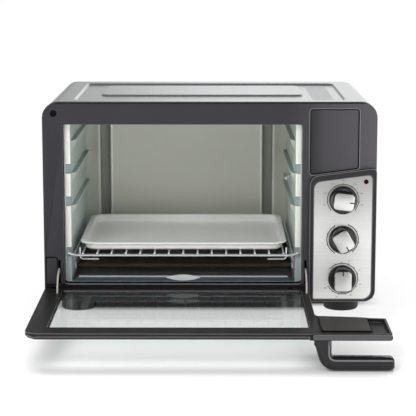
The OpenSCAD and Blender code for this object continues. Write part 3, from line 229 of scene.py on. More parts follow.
# Bottom plate and back panel: two sheets of galvanised steel that close the casing.
# The back is painted dark grey and punched with two rows of slots, and pan head screws hold it.
def coated(material, *nodes):
    """CAD nodes whose shape is right already, in a better finish."""
    for node in nodes:
        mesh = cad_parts[node].data
        mesh.materials.clear()
        mesh.materials.append(material)


def sheet(name, colour, rough, grain, stretch=(1, 1, 1), metal=1.0, spread=0.12, uneven=1.0):
    """Rolled metal sheet: cloudy tone, drawn-out grain in its gloss and a very fine relief."""
    finish = Finish(name)
    cloud = finish.noise(7, 3)
    drawn = finish.noise(grain, 2, stretch)
    return finish.skin(Base_Color=finish.toned(cloud, colour, 1 - spread, 1 + spread / 2), Metallic=metal,
                       Roughness=(cloud * 0.08 + drawn * 0.12) * uneven + (rough - 0.1 * uneven),
                       Normal=finish.relief(drawn, 0.000006 * uneven))


def enamel(name, colour, rough):
    """Baked paint on sheet: an orange-peel skin, with rubbed patches in its tone and gloss."""
    finish = Finish(name)
    peel = finish.noise(420, 2)
    rubbed = finish.noise(18, 4)
    return finish.skin(Base_Color=finish.toned(rubbed, colour, 0.9, 1.1),
                       Roughness=rubbed * 0.14 + (rough - 0.07), Normal=finish.relief(peel, 0.00003))


coated(enamel("back paint", shade(66, 66, 69), 0.42), "back_panel")
coated(sheet("galvanised base", shade(150, 152, 152), 0.42, 60), "bottom_plate")
steel = sheet("bright steel", shade(188, 188, 186), 0.26, 900, spread=0.08)
coated(steel, "foot_screws")


def frozen(holder):
    """Plain mesh of an object as its modifiers leave it; the object goes."""
    mesh = bpy.data.meshes.new_from_object(holder.evaluated_get(bpy.context.evaluated_depsgraph_get()))
    bpy.data.objects.remove(holder)
    return mesh


class Rule(Net):
    """Geometry Nodes tree with named sizes, run once on points and kept as a plain mesh."""

    def __init__(self, name, points=(), **sizes):
        super().__init__(bpy.data.node_groups.new(name, "GeometryNodeTree"))
        self.points = points
        self.values = {}
        kinds = {int: "NodeSocketInt", float: "NodeSocketFloat"}
        face = self.tree.interface
        face.new_socket("Points", in_out="INPUT", socket_type="NodeSocketGeometry")
        for label, value in sizes.items():
            socket = face.new_socket(label.replace("_", " "), in_out="INPUT", socket_type=kinds[type(value)])
            self.values[socket.identifier] = value
        face.new_socket("Geometry", in_out="OUTPUT", socket_type="NodeSocketGeometry")

    def entry(self):
        """Wires of the points and the sizes, in their order."""
        return [Wire(self, socket) for socket in self.tree.nodes.new("NodeGroupInput").outputs[:-1]]

    def vector(self, x=0.0, y=0.0, z=0.0):
        return self.node("ShaderNodeCombineXYZ", {"X": x, "Y": y, "Z": z})

    def moved(self, geometry, **how):
        return self.node("GeometryNodeTransform", {"Geometry": geometry, **how})

    def join(self, *parts):
        both = self.tree.nodes.new("GeometryNodeJoinGeometry")
        for part in parts:
            self.tree.links.new(part.socket, both.inputs[0])
        return Wire(self, both.outputs[0])

    def set_out(self, row, instance, **how):
        """A copy of an instance at each point of a mesh."""
        spots = self.node("GeometryNodeMeshToPoints", {"Mesh": row})
        return self.node("GeometryNodeInstanceOnPoints", {"Points": spots, "Instance": instance, **how})

    def swept(self, path, profile):
        return self.node("GeometryNodeCurveToMesh",
                         {"Curve": path, "Profile Curve": profile, "Fill Caps": True})

    def build(self, geometry, material):
        whole = self.node("GeometryNodeRealizeInstances", {"Geometry": geometry})
        painted = self.node("GeometryNodeSetMaterial", {"Geometry": whole, "Material": material})
        self.send(painted, "NodeGroupOutput", "Geometry")
        seed = bpy.data.meshes.new(self.tree.name)
        seed.from_pydata(list(self.points), [], [])
        holder = added(self.tree.name, seed)
        run = holder.modifiers.new("rule", "NODES")
        run.node_group = self.tree
        for identifier, value in self.values.items():
            run[identifier] = value
        return frozen(holder)


def screw_heads(name, places, head_d, head_t, shank_d, shank_l):
    """Pan head screws with a cross recess, heads towards +Y, one at each place."""
    rule = Rule(name, places, Head=head_d, Rise=head_t, Shank=shank_d, Length=shank_l)
    points, head, rise, shank, length = rule.entry()
    ball = rule.node("GeometryNodeMeshUVSphere", {"Segments": 24, "Rings": 12, "Radius": 1.0})
    cut = rule.moved(ball, Scale=rule.vector(head * 0.5, head * 0.5, rise))
    below = rule.node("GeometryNodeMeshCube", {"Size": (0.1, 0.1, 0.02)})
    tools = [rule.moved(below, Translation=(0, 0, -0.01))]
    slot, run = head * 0.16, head * 0.55
    for across, along in ((run, slot), (slot, run)):
        bar = rule.node("GeometryNodeMeshCube", {"Size": rule.vector(across, along, rise)})
        tools.append(rule.moved(bar, Translation=rule.vector(z=rise)))
    for tool in tools:
        cut = rule.node("GeometryNodeMeshBoolean", {"Mesh 1": cut, "Mesh 2": tool}, operation="DIFFERENCE")
    pin = rule.node("GeometryNodeMeshCylinder", {"Vertices": 16, "Radius": shank * 0.5, "Depth": length})
    sunk = rule.moved(pin, Translation=rule.vector(z=length * -0.5))
    faced = rule.moved(rule.join(cut, sunk), Rotation=(-pi / 2, 0, 0))
    shape = bmesh.new()
    shape.from_mesh(rule.build(rule.set_out(points, faced), steel))
    return shape


wrap_low, wrap_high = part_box("outer_wrap")
frame_low, frame_high, frame_mid, _ = span("front_frame")
back_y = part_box("back_panel")[1].y
screw_in, screw_low, screw_high = 0.012, 0.016, 0.034
screw_places = [(side * (wrap_high.x - screw_in), back_y, z) for side in (-1, 1)
                for z in (frame_low.z + screw_low, frame_mid.z, frame_high.z - screw_high)]
case_screws = screw_heads("case screw", screw_places, head_d=0.007, head_t=0.0019, shank_d=0.003,
                          shank_l=0.0068)
shown("case_screw_heads", case_screws, steel, "cabinet", "steel", "case_screws")

rubber = moulded("black rubber", shade(30, 30, 31), 0.72, 0.00003)
gland_low, gland_high, gland_mid, gland_half = span("cord_gland")
gland_bore, gland_edge, gland_lip, lip_flat, lip_round = 0.004, 0.001, 0.003, 0.002, 0.0008
gland_r, gland_neck = gland_half.x, gland_half.x - gland_lip
gland_profile = [(gland_bore, gland_low.y), (gland_neck - gland_edge, gland_low.y),
                 (gland_neck, gland_low.y + gland_edge), (gland_neck, back_y), (gland_r, back_y),
                 (gland_r, back_y + lip_flat), (gland_r - lip_round, gland_high.y - 0.0006),
                 (gland_r - lip_flat, gland_high.y), (gland_bore + gland_edge, gland_high.y),
                 (gland_bore, gland_high.y - gland_edge)]
gland = turned(gland_profile, (gland_mid.x, 0, gland_mid.z), (0, 1, 0), loop=True, sides=48)
shown("gland_ring", gland, rubber, "cabinet", "black_rubber", "cord_gland")


# Outer wrap: one sheet of satin silver steel bent over the sides and the top.
# A press sinks a shallow recess into the top and lifts a panel in its middle; slots are punched
# beside the panel and in the right side, over the fan and the controls.
sheet_t, bend_r, flat_run = 0.001, 0.020, 0.0005
recess_side, recess_front, recess_back = 0.039, 0.034, 0.030
recess_depth, press_r, press_run, panel_run = 0.003, 0.014, 0.0026, 0.0018
recess = (wrap_low.x + recess_side, wrap_low.y + recess_front,
          wrap_high.x - recess_side, wrap_high.y - recess_back)
panel_left, panel_right, panel_front, panel_back, panel_rise = 0.033, 0.056, 0.082, 0.033, 0.0025
panel = (recess[0] + panel_left, recess[1] + panel_front, recess[2] - panel_right, recess[3] - panel_back)
slot_w, top_slot_w, slot_l, slot_pitch, slot_margin = 0.0026, 0.0016, 0.031, 0.007, 0.010
side_front, side_back, side_drops = 0.060, 0.090, (0.110, 0.070)


def steps(start, end, pitch):
    """Places from start up to end, one pitch apart."""
    return [start + i * pitch for i in range(int((end - start) / pitch + 1e-6) + 1)]


def inside(x, y, box, radius):
    """Distance of a point inside a box with rounded corners, negative outside it."""
    across = abs(x - (box[0] + box[2]) / 2) - (box[2] - box[0]) / 2 + radius
    along = abs(y - (box[1] + box[3]) / 2) - (box[3] - box[1]) / 2 + radius
    return radius - hypot(max(across, 0), max(along, 0)) - min(max(across, along), 0)


def soft(share):
    """Share from 0 to 1 with soft shoulders at both ends."""
    share = min(max(share, 0), 1)
    return share * share * (3 - 2 * share)


def near_edges(axis):
    """Grid lines that follow the press edges closely, from just outside, then widen over the corners."""
    runs = [0.001 * k for k in (-0.5, 0, 0.5, 1, 1.5, 2, 2.5, 3, 3.5, 4.2, 5, 6.5, 8, 10, 12, 14)]
    return {edge + way * run for box in (recess, panel) for edge, way in ((box[axis], 1), (box[axis + 2], -1))
            for run in runs}


top_slots = steps(recess[1] + slot_margin, panel[3], slot_pitch)
top_slot_x = (panel[2] + slot_margin, panel[2] + slot_margin + slot_l)
side_slots = steps(wrap_low.y + side_front, wrap_high.y - side_back, slot_pitch * 2)
side_slot_z = [frame_high.z - drop for drop in side_drops]
lines_y = {wrap_low.y, wrap_high.y} | near_edges(1)
for starts, width in ((top_slots, top_slot_w), (side_slots, slot_w)):
    for start in starts:
        lines_y |= {start, start + width}
lines_y = sorted(round(v, 6) for v in lines_y)
lines_x = near_edges(0) | {*top_slot_x, wrap_low.x + bend_r + flat_run, wrap_high.x - bend_r - flat_run}
centre_z = wrap_high.z - bend_r
flat_end = centre_z - flat_run
side_lines = sorted([flat_end, *side_slot_z, *(z + slot_l for z in side_slot_z)], reverse=True)


def wrap_bend(edge, way):
    """Points of a bend, from the side up to the top."""
    angles = [radians(9 * i) for i in range(11)]
    return [(edge + way * bend_r * (1 - cos(a)), centre_z + bend_r * sin(a)) for a in angles]


section = [(wrap_low.x, wrap_low.z), (wrap_low.x, flat_end), *wrap_bend(wrap_low.x, 1),
           *((x, wrap_high.z) for x in sorted(lines_x)), *reversed(wrap_bend(wrap_high.x, -1)),
           *((wrap_high.x, z) for z in side_lines), (wrap_high.x, wrap_low.z)]


def wrap_point(x, z, y):
    if z < wrap_high.z - 1e-6:
        return (x, y, z)
    sunk = recess_depth * soft(inside(x, y, recess, press_r) / press_run)
    lifted = panel_rise * soft(inside(x, y, panel, press_r) / panel_run)
    return (x, y, z - sunk + lifted)


def punched(middle):
    """True where a slot takes the sheet away."""
    def in_row(rows, width):
        return any(y < middle.y < y + width for y in rows)
    if top_slot_x[0] < middle.x < top_slot_x[1] and middle.z > centre_z:
        return in_row(top_slots, top_slot_w)
    in_slot = any(z < middle.z < z + slot_l for z in side_slot_z)
    return middle.x > wrap_high.x - 1e-5 and in_slot and in_row(side_slots, slot_w)


def thickened(piece, gauge, offset=-1, backing=0):
    """Gives a sheet its gauge, behind the side that is seen; backing picks a later finish for its back."""
    body = piece.modifiers.new("gauge", "SOLIDIFY")
    body.thickness = gauge
    body.offset = offset
    body.material_offset = body.material_offset_rim = backing


wrap_shape = bmesh.new()
columns = [[wrap_shape.verts.new(wrap_point(x, z, y)) for y in lines_y] for x, z in section]
for left, right in zip(columns, columns[1:]):
    for i in range(len(lines_y) - 1):
        face = wrap_shape.faces.new((left[i], right[i], right[i + 1], left[i + 1]))
        if punched(face.calc_center_median()):
            wrap_shape.faces.remove(face)
loose = [v for v in wrap_shape.verts if not v.link_faces]
bmesh.ops.delete(wrap_shape, geom=loose, context="VERTS")
wrap_finish = sheet("satin silver coat", shade(196, 198, 199), 0.27, 500, metal=0.85, spread=0.05,
                    uneven=0.15)
thickened(shown("wrap_sheet", wrap_shape, wrap_finish, "cabinet", "casing_sheet", "outer_wrap", crease=50,
                more=[enamel("cut edge", shade(40, 40, 41), 0.6)]), sheet_t, backing=1)


# Front frame: one charcoal moulding round the mouth, with a shallow pocket for the door's cover.
# Its edges are rounded by the mould; it carries the hinge lugs, a pad and a small rubber bumper.
def softened(name, node, width, where, finishes, body, slot, segments=3, plug=None, shaded_border=None, brow=None):
    """Copy of a CAD node with rounded edges, in finishes for faces, flanks and edges; the strip over the brow
    and flat strips round faces with a shaded border take the flank finish, as painted shade.
    """
    flank_y, fold, shaded_border_w = 0.3, radians(30), 0.0014
    shape = bmesh.new()
    shape.from_mesh(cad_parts[node].data)
    bmesh.ops.remove_doubles(shape, verts=shape.verts, dist=1e-6)
    if plug:
        ring = [v for v in shape.verts if hypot(v.co.x - plug[0], v.co.z - plug[1]) < plug[2]]
        bmesh.ops.delete(shape, geom=ring, context="VERTS")
        bmesh.ops.holes_fill(shape, edges=[e for e in shape.edges if e.is_boundary])
    bmesh.ops.dissolve_limit(shape, angle_limit=radians(0.5), verts=shape.verts, edges=shape.edges)
    if brow:
        geometry = [*shape.verts, *shape.edges, *shape.faces]
        bmesh.ops.bisect_plane(shape, geom=geometry, plane_co=(0, 0, brow), plane_no=(0, 0, 1))
    for face in shape.faces:
        over_brow = brow is not None and face.calc_center_median().z > brow
        face.material_index = int(abs(face.normal.y) < flank_y or over_brow)
    # A flat strip round each such face takes the flank finish, as painted shade.
    for face in [f for f in shape.faces if shaded_border and shaded_border(f.calc_center_median(), f.normal)]:
        for strip in bmesh.ops.inset_individual(shape, faces=[face], thickness=shaded_border_w)["faces"]:
            strip.material_index = 1
    weight = shape.edges.layers.float.new("bevel_weight_edge")
    for edge in shape.edges:
        if len(edge.link_faces) == 2 and edge.calc_face_angle() > fold:
            edge[weight] = float(where((edge.verts[0].co + edge.verts[1].co) / 2, edge))
    piece = shown(name, shape, finishes[0], body, slot, node, more=finishes[1:])
    edges = piece.modifiers.new("moulded edges", "BEVEL")
    edges.width = width
    edges.segments = segments
    edges.limit_method = "WEIGHT"
    edges.use_clamp_overlap = False
    edges.harden_normals = True
    edges.material = 2


frame_t, outline_w, mouth_gap, mouth_low, fine_share = 0.014, 0.0015, 0.005, 0.056, 0.25
front_y = frame_high.y - frame_t
pad_x, pad_z, pad_step = (0.0005, 0.020), (0.050, 0.096), 0.0001
pocket_left, pocket_right, pocket_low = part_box("control_housing")[0].x, 0.210, 0.2
floor_depth = (0.002, 0.004)
stay_xs = [span(node)[2].x for node in ("door_stay_left", "door_stay_right")]
stay_z, stay_reach, lug_z, hole_edge = (0.052, 0.090), 0.0025, (0.038, 0.051), 0.0009
lug_x = (frame_low.x + 0.004, 0.135)


def on_pad(place):
    """True within the outline of the pad on the frame's left side."""
    return pad_x[0] < place.x - frame_low.x < pad_x[1] and pad_z[0] < place.z < pad_z[1]


def frame_edge(middle, edge):
    """The frame's outline, the mouth and the pocket, without the pad, the stays' slots and the lugs."""
    on_slot = any(abs(middle.x - x) < stay_reach for x in stay_xs) and stay_z[0] < middle.z < stay_z[1]
    on_lug = lug_z[0] < middle.z < lug_z[1] and lug_x[0] < middle.x < lug_x[1]
    hole = edge.calc_length() < hole_edge
    if abs(middle.y - front_y) > 1e-5 or on_pad(middle) or on_slot or on_lug or hole:
        return 0
    outline = (frame_low.x, frame_low.z, frame_high.x, frame_high.z)
    on_outline = inside(middle.x, middle.z, outline, bend_r) < outline_w
    on_mouth = middle.x < pocket_left - mouth_gap and middle.z > mouth_low
    return fine_share if on_outline or on_mouth else 1


def has_shaded_border(middle, normal):
    """The floor of the pocket and the pad's face, whose borders get a flat black strip as painted shade."""
    behind = middle.y - front_y
    in_pocket = pocket_left < middle.x < pocket_right and middle.z > pocket_low
    on_floor = in_pocket and floor_depth[0] < behind < floor_depth[1]
    on_face = on_pad(middle) and abs(behind) > pad_step and behind < floor_depth[1]
    return normal.y < -0.9 and (on_floor or on_face)


def frame_painted_light(finish, tone):
    """Painted light: lighter to the right, and painted shade on the pocket's left side and under the mouth.
    """
    light_x, pocket_x, pocket_y = (0.11, frame_high.x), (pocket_left + 0.02, pocket_left), (0.001, 0.002)
    sill_z, sill_x, depth = (0.0555, 0.0535), (0.140, 0.136), 0.8
    painted_light_right = finish.tint(finish.along("X", *light_x), tone, shade(74, 72, 76))
    pocket_painted_shade = finish.along("X", *pocket_x) * finish.along("Y", *(front_y + y for y in pocket_y))
    sill_painted_shade = finish.along("Z", *sill_z) * finish.along("X", *sill_x)
    return finish.tint(pocket_painted_shade * depth + sill_painted_shade * depth, painted_light_right, shade(12, 12, 13))


# The charcoal frame's colour carries painted light to the right, and painted shade by the pocket and under
# the mouth.
frame_finish = moulded("charcoal frame", shade(40, 38, 43), 0.42, 0.000012, retone=frame_painted_light)
# A light grey on the rounded edges of the frame and the bezel, as a painted highlight.
painted_edge_highlight = moulded("rubbed edge", shade(112, 110, 112), 0.4, 0.000012)
# Near black for flanks, also used as painted shade on the frame's top strip, on the borders of the pocket and
# pad, and on the cover's near and right edges.
black_flank_and_painted_shade = moulded("matt black flank", shade(10, 10, 11), 0.85, 0.00002, shine=0.02)
bumper_low, bumper_high, bumper_mid, bumper_half = span("door_bumper")
bumper_r, bumper_h = bumper_half.x, bumper_high.y - bumper_low.y
# The frame's strip over the brow takes the black flank finish, as a painted shadow line under the wrap.
softened("frame_moulding", "front_frame", 0.0012, frame_edge, (frame_finish, black_flank_and_painted_shade, painted_edge_highlight),
         "cabinet", "frame_plastic", plug=(bumper_mid.x, bumper_mid.z, bumper_r + 0.001), shaded_border=has_shaded_border,
         brow=frame_high.z - 0.0015)
dish_h = bumper_h - (front_y - bumper_low.y) * 0.4
bumper_profile = [(bumper_r * share, h) for share, h in (
    (1, 0), (1, dish_h), (0.9, bumper_h), (0.72, bumper_h), (0.6, dish_h), (0.15, dish_h))]
bumper = turned(bumper_profile, (bumper_mid.x, bumper_high.y, bumper_mid.z), (0, -1, 0), sides=40)
bumper_finish = moulded("bumper rubber", shade(16, 16, 17), 0.6, 0.00002, shine=0.04)
shown("bumper_button", bumper, bumper_finish, "cabinet", "black_rubber", "door_bumper")
coated(steel, "hinge_pin_left", "hinge_pin_right")


# Cavity liner: aluminised steel sheets, spot welded into a box behind the frame.
# The side walls are folded out into flanges and pressed into ribs that carry the rack, the right one
# is punched in front of the fan, and two flutes stiffen the back wall.
def aluminised(name, colour, rough, painted_shade_y=None):
    """Aluminium coated steel: small spangle, cloudy heat tone, a soft sheen, and painted shade past a depth
    in Y.
    """
    finish = Finish(name)
    cloud = finish.noise(6, 4)
    spangle = finish.node("ShaderNodeTexVoronoi", {"Vector": finish.place(), "Scale": 420.0})
    tone = finish.toned(cloud, colour, 0.9, 1.05)
    if painted_shade_y:
        tone = finish.tint(finish.along("Y", *painted_shade_y), tone, [*(c * 0.4 for c in colour[:3]), 1.0])
    return finish.skin(Base_Color=tone, Metallic=0.4,
                       Roughness=cloud * 0.16 + spangle * 0.1 + (rough - 0.13),
                       Normal=finish.relief(spangle, 0.00001))


liner = aluminised("aluminised liner", shade(220, 230, 226), 0.46)
# Lighter and darker copies of the liner: a painted highlight on flanges, rib edges and flute ridges, and
# painted shade on ledges, notches and the low flange.
painted_highlight_sheet = aluminised("rubbed sheet edge", shade(244, 244, 238), 0.4)
painted_shade_sheet = aluminised("sooted ledge", shade(172, 186, 186), 0.5)
(liner_left, liner_front, _), (liner_right, liner_back, _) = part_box("cavity_floor")
liner_low, liner_high = (b.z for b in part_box("cavity_back_wall"))
liner_t = 0.001
rib_tops = (0.0905, 0.164, 0.2105, 0.257)
rib_h, rib_depth, rib_edge, ledge = 0.019, 0.006, 0.0022, 0.0006
rib_front, rib_front_run, rib_back, rib_back_run = 0.005, 0.018, 0.004, 0.012
notch_h, notch_slope, notch_fold, notch_out, notch_end = 0.014, 1.3, 0.0008, 0.0079, 0.023
flange_step = 0.0083
flange_fold = [(0.0112, 0.0006), (flange_step, 0.0006), (notch_out, 0), (0.0074, 0), (0.0022, 0),
               (0.0010, 0.0002), (0.0003, 0.0008), (0.0, 0.0020)]
front_runs = (0.005, 0.008, 0.011, 0.014, 0.017, 0.020, 0.023, 0.030, 0.038, 0.046)
back_runs = (0, 0.004, 0.007, 0.010, 0.013, 0.016, 0.030, 0.060, 0.090)
_, fan_y, fan_z = span("fan_shaft")[2]
hole_r, hole_pitch, hole_ring, hole_grid, hole_lines = 0.0025, 0.010, 4, 0.0025, 17
hole_steps = range(-hole_ring, hole_ring + 1)
fan_holes = [(fan_y + i * hole_pitch, fan_z + j * hole_pitch) for i in hole_steps for j in hole_steps
             if hypot(i, j) <= hole_ring]


def rib(y, z):
    """Share of a rib's depth at a place on a side wall: a flat ledge on top and a long slope under it."""
    front_end = soft((y - liner_front - rib_front) / rib_front_run)
    back_end = soft((liner_back - rib_back - y) / rib_back_run)
    bands = [soft((top - z) / ledge) * soft((z - top + rib_h) / (rib_h - rib_edge)) for top in rib_tops]
    return front_end * back_end * max(bands)


def notch(z):
    """Share of the notch over each of the lower ribs, where a rack's wire goes in."""
    return max(soft((z - top) / notch_fold) * soft((top + notch_h - z) / notch_fold) for top in rib_tops[:3])


def sheet_tone(here, z):
    """Finish of a face by its place on the flange and its height: 0 plain, 1 painted highlight on the flange
    and under each ledge, 2 painted shade on ledges, notches and the flange below the rack.
    """
    below_top = [top - z for top in rib_tops]
    low_flange = notch(z) > 0.5 or z < rib_tops[0]
    if 0 < here < notch_out and low_flange or here == 0 and any(0 < d < ledge for d in below_top):
        return 2
    return int(0 < here < flange_step or here == 0 and any(ledge < d < rib_edge for d in below_top))


def set_back(out, depth):
    """How far a notch pushes the flange back: it slants from the flange's outer strip into the wall."""
    if out > 0:
        return max(notch_out - out, 0) * notch_slope
    return notch_out * notch_slope * max(1 - depth / notch_end, 0)


def at_hole(y, z, holes):
    """Hole whose square of the grid holds a place, if there is one."""
    reach = hole_r + 1e-6
    return next((h for h in holes if abs(y - h[0]) < reach and abs(z - h[1]) < reach), None)


def gridded(shape, rows, tone=None, flip=False):
    """Faces between rows of points, each in the finish that tone gives; where it gives none is a hole."""
    for r, (low, high) in enumerate(zip(rows, rows[1:])):
        for i in range(len(low) - 1):
            corners = (low[i], low[i + 1], high[i + 1], high[i])
            finish = tone(r, i, sum((v.co for v in corners), Vector()) / 4) if tone else 0
            if finish is not None:
                shape.faces.new(corners[::-1] if flip else corners).material_index = finish
    bmesh.ops.delete(shape, geom=[v for v in shape.verts if not v.link_faces], context="VERTS")


def side_pressing(name, node, face_x, way, holes=()):
    """Side wall as a grid sheet from its flange to the back, seen from the side it is pressed towards."""
    wall = {round(fan_y + k * hole_grid, 6) for k in range(-hole_lines, hole_lines + 1)}
    wall |= {liner_front + run for run in front_runs} | {liner_back - run for run in back_runs}
    path = [(out, liner_front + back) for out, back in flange_fold] + [(0.0, y) for y in sorted(wall)]
    down, up = (int(run / hole_grid) for run in (fan_z - liner_low, liner_high - fan_z))
    levels = {liner_low, liner_high} | {round(fan_z + k * hole_grid, 6) for k in range(-down, up + 1)}
    for top in rib_tops:
        levels |= {round(top + rise, 6) for rise in (-rib_edge, -ledge, 0, notch_fold / 2, notch_fold)}
        levels |= {round(top + notch_h - notch_fold * k, 6) for k in (0, 0.5, 1)}
    levels = sorted(level for level in levels if liner_low <= level <= liner_high)
    shape = bmesh.new()

    def wall_point(out, y, z):
        back = set_back(out, y - liner_front) * notch(z)
        hole = at_hole(y, z, holes) if out == 0 else None
        far = hypot(y - hole[0], z - hole[1]) if hole else 0.0
        if far > hole_r:
            y, z = (h + (v - h) * hole_r / far for v, h in zip((y, z), hole))
        return shape.verts.new((face_x + way * (rib_depth * rib(y, z) - out), y + back, z))

    def wall_tone(r, i, middle):
        out = path[i][0]
        if out == 0 and at_hole(middle.y, middle.z, holes):
            return None
        return sheet_tone(out, (levels[r] + levels[r + 1]) / 2)

    gridded(shape, [[wall_point(out, y, z) for out, y in path] for z in levels], wall_tone, way < 0)
    thickened(shown(name, shape, liner, "cabinet", "liner_sheet", node, crease=40,
                    more=[painted_highlight_sheet, painted_shade_sheet]), liner_t)


side_pressing("left_wall_pressing", "cavity_left_wall", liner_left, 1)
side_pressing("right_wall_pressing", "cavity_right_wall", liner_right, -1, fan_holes)

flute_side, flute_foot, flute_head, flute_w, flute_depth, flute_run = 0.022, 0.013, 0.022, 0.017, 0.005, 0.008
flute_low, flute_high = liner_low + flute_foot, liner_high - flute_head
flute_edge = [(-0.003, 0), (-0.002, -0.0005), (-0.0012, -0.0008), (-0.0004, -0.0006), (0.0003, 0.0004),
              (0.0012, 0.0030), (0.0018, 0.0044), (0.0028, flute_depth)]
across = [(liner_left - liner_t, 0.0)]
for start in (liner_left + flute_side, liner_right - flute_side - flute_w):
    across += [(start + run, depth) for run, depth in flute_edge]
    across += [(start + flute_w - run, depth) for run, depth in reversed(flute_edge)]
across += [(liner_right + liner_t, 0.0)]
climb = sorted([liner_low, liner_high, *(flute_low + 0.001 * k for k in range(9)),
                *(flute_high - 0.001 * k for k in range(9))])
back_sheet = bmesh.new()
back_rows = []
for z in climb:
    share = soft((z - flute_low) / flute_run) * soft((flute_high - z) / flute_run)
    back_rows.append([back_sheet.verts.new((x, liner_back + depth * share, z)) for x, depth in across])
# The flutes' raised ridges take the painted highlight.
gridded(back_sheet, back_rows, lambda r, i, middle: int(across[i][1] < 0 or across[i + 1][1] < 0))
# The floors of the flutes' channels darken, as painted shade.
flute_painted_shade_y = (liner_back + 0.001, liner_back + flute_depth)
back_liner_shaded = aluminised("sooted liner", shade(214, 214, 203), 0.46, flute_painted_shade_y)
thickened(shown("back_wall_pressing", back_sheet, back_liner_shaded, "cabinet", "liner_sheet", "cavity_back_wall",
                crease=60, more=[painted_highlight_sheet]), liner_t)
coated(liner, "cavity_roof", "cavity_floor")


# Heating rods: two steel sheathed rods over the food and two under it, in ceramic bushes.
# Heat has tinted the sheaths brown in bands.
def heated(name):
    finish = Finish(name)
    bands = finish.noise(1, 3, (26, 4, 4))
    fine = finish.noise(700, 2)
    return finish.skin(Base_Color=finish.tint(bands, shade(84, 74, 67), shade(116, 104, 92)), Metallic=0.85,
                       Roughness=bands * 0.2 + fine * 0.1 + 0.28, Normal=finish.relief(fine, 0.00001))


def glazed(name, colour):
    """Fired ceramic or lamp glass: faint specks under a thin glaze."""
    finish = Finish(name)
    specks = finish.noise(900, 3)
    return finish.skin(Base_Color=finish.toned(specks, colour, 0.86, 1.02),
                       Roughness=specks * 0.2 + 0.3, Coat_Weight=0.25, Coat_Roughness=0.2)


coated(heated("heat tinted sheath"), "upper_front_element", "upper_rear_element", "lower_front_element",
       "lower_rear_element")
coated(glazed("bush ceramic", shade(226, 222, 210)), "element_insulators", "terminal_block")


# Fan: a pressed wheel on the shaft of a small motor, in a sheet duct behind the perforated right wall.
# The CAD shapes stay, in bare sheet, painted steel and aluminium.
coated(sheet("duct sheet", shade(170, 172, 174), 0.4, 80), "fan_duct")
coated(enamel("motor can", shade(92, 93, 98), 0.38), "fan_motor")
coated(sheet("wheel aluminium", shade(205, 206, 208), 0.34, 300), "fan_impeller")
coated(steel, "fan_shaft")


# Switch units, sensor, fuse and wires in the control bay, hidden when the casing is closed.
# The units are moulded cans, and the wires wear braided glass sleeves.
def braided(name, colour):
    finish = Finish(name)
    weave = finish.node("ShaderNodeTexWave", {"Vector": finish.place(), "Scale": 220.0, "Distortion": 2.0},
                        wave_type="BANDS", bands_direction="DIAGONAL")
    return finish.skin(Base_Color=finish.toned(weave, colour, 0.75, 1.05), Roughness=weave * 0.2 + 0.6,
                       Normal=finish.relief(weave, 0.0002))


coated(moulded("unit plastic", shade(196, 192, 176), 0.5, 0.00002), "thermostat", "mode_switch", "timer",
       "thermal_fuse")
coated(braided("glass sleeve", shade(214, 204, 182)), "wiring_harness")
coated(steel, "sensor_bulb")


# Control housing: a charcoal bezel that stands proud of the frame, cut on a slant at its top.
# It holds a brushed steel plate printed with the dials' scales, and the lamp's red lens.
house_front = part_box("control_housing")[0].y
bezel_finish = moulded("bezel plastic", shade(27, 25, 28), 0.36, 0.000008)
softened("bezel_moulding", "control_housing", 0.0008, lambda middle, edge: abs(middle.y - house_front) < 1e-5,
         (bezel_finish, black_flank_and_painted_shade, painted_edge_highlight), "cabinet", "housing_plastic", 4)


def brushed(name, colour, rough):
    """Steel brushed from side to side: long fine scratches in tone, gloss and relief, with painted shade
    darkening it towards its top.
    """
    finish = Finish(name)
    lines = finish.noise(1, 4, (5, 40, 1900)) * 0.6 + finish.noise(1, 2, (60, 60, 5200)) * 0.4
    painted_shade_z = (0.12, 0.215)
    tone = finish.tint(finish.along("Z", *painted_shade_z), finish.toned(lines, colour, 0.72, 1.18),
                       finish.toned(lines, colour, 0.24, 0.5))
    return finish.skin(Base_Color=tone, Metallic=0.7, Roughness=lines * 0.24 + (rough - 0.12),
                       Normal=finish.relief(lines, 0.00002))


coated(brushed("brushed plate", shade(245, 245, 243), 0.4), "control_plate")

lens_low, lens_high, lens_mid, lens_half = span("indicator_lens")
lens_r, lens_dome = lens_half.x, 0.001
lens_side = lens_high.y - lens_low.y - lens_dome
lens_profile = [(lens_r, 0)] + [(lens_r * cos(a), lens_side + lens_dome * sin(a))
                                for a in (0, 0.3, 0.6, 0.9, 1.2, 1.45)]
lens = Finish("red lens")
cloud = lens.noise(300, 2)
lens_finish = lens.skin(Base_Color=lens.tint(cloud, shade(26, 4, 4), shade(44, 7, 6)),
                        Roughness=cloud * 0.05 + 0.2, Specular_IOR_Level=0.08)
shown("lens_dome", turned(lens_profile, (lens_mid.x, lens_high.y, lens_mid.z), (0, -1, 0), sides=32),
      lens_finish, "cabinet", "lamp_lens", "indicator_lens")
coated(glazed("lamp glass", shade(232, 150, 110)), "indicator_lamp")

ink = moulded("printed ink", shade(40, 39, 41), 0.55, 0.000004)
plate_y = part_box("control_plate")[0].y
ink_t, tick_w, scale_r, digit_h = 0.0001, 0.0009, 0.0222, 0.0026
dial_x = span("mode_shaft")[2].x
dial_zs = {dial: span(dial + "_shaft")[2].z for dial in ("temperature", "mode", "timer")}
marks = bmesh.new()


def printed(mesh, dial):
    """Adds a flat print to the marks, on the plate round a dial."""
    mesh.transform(Matrix.Translation((dial_x, plate_y - ink_t / 2, dial_zs[dial])))
    marks.from_mesh(mesh)


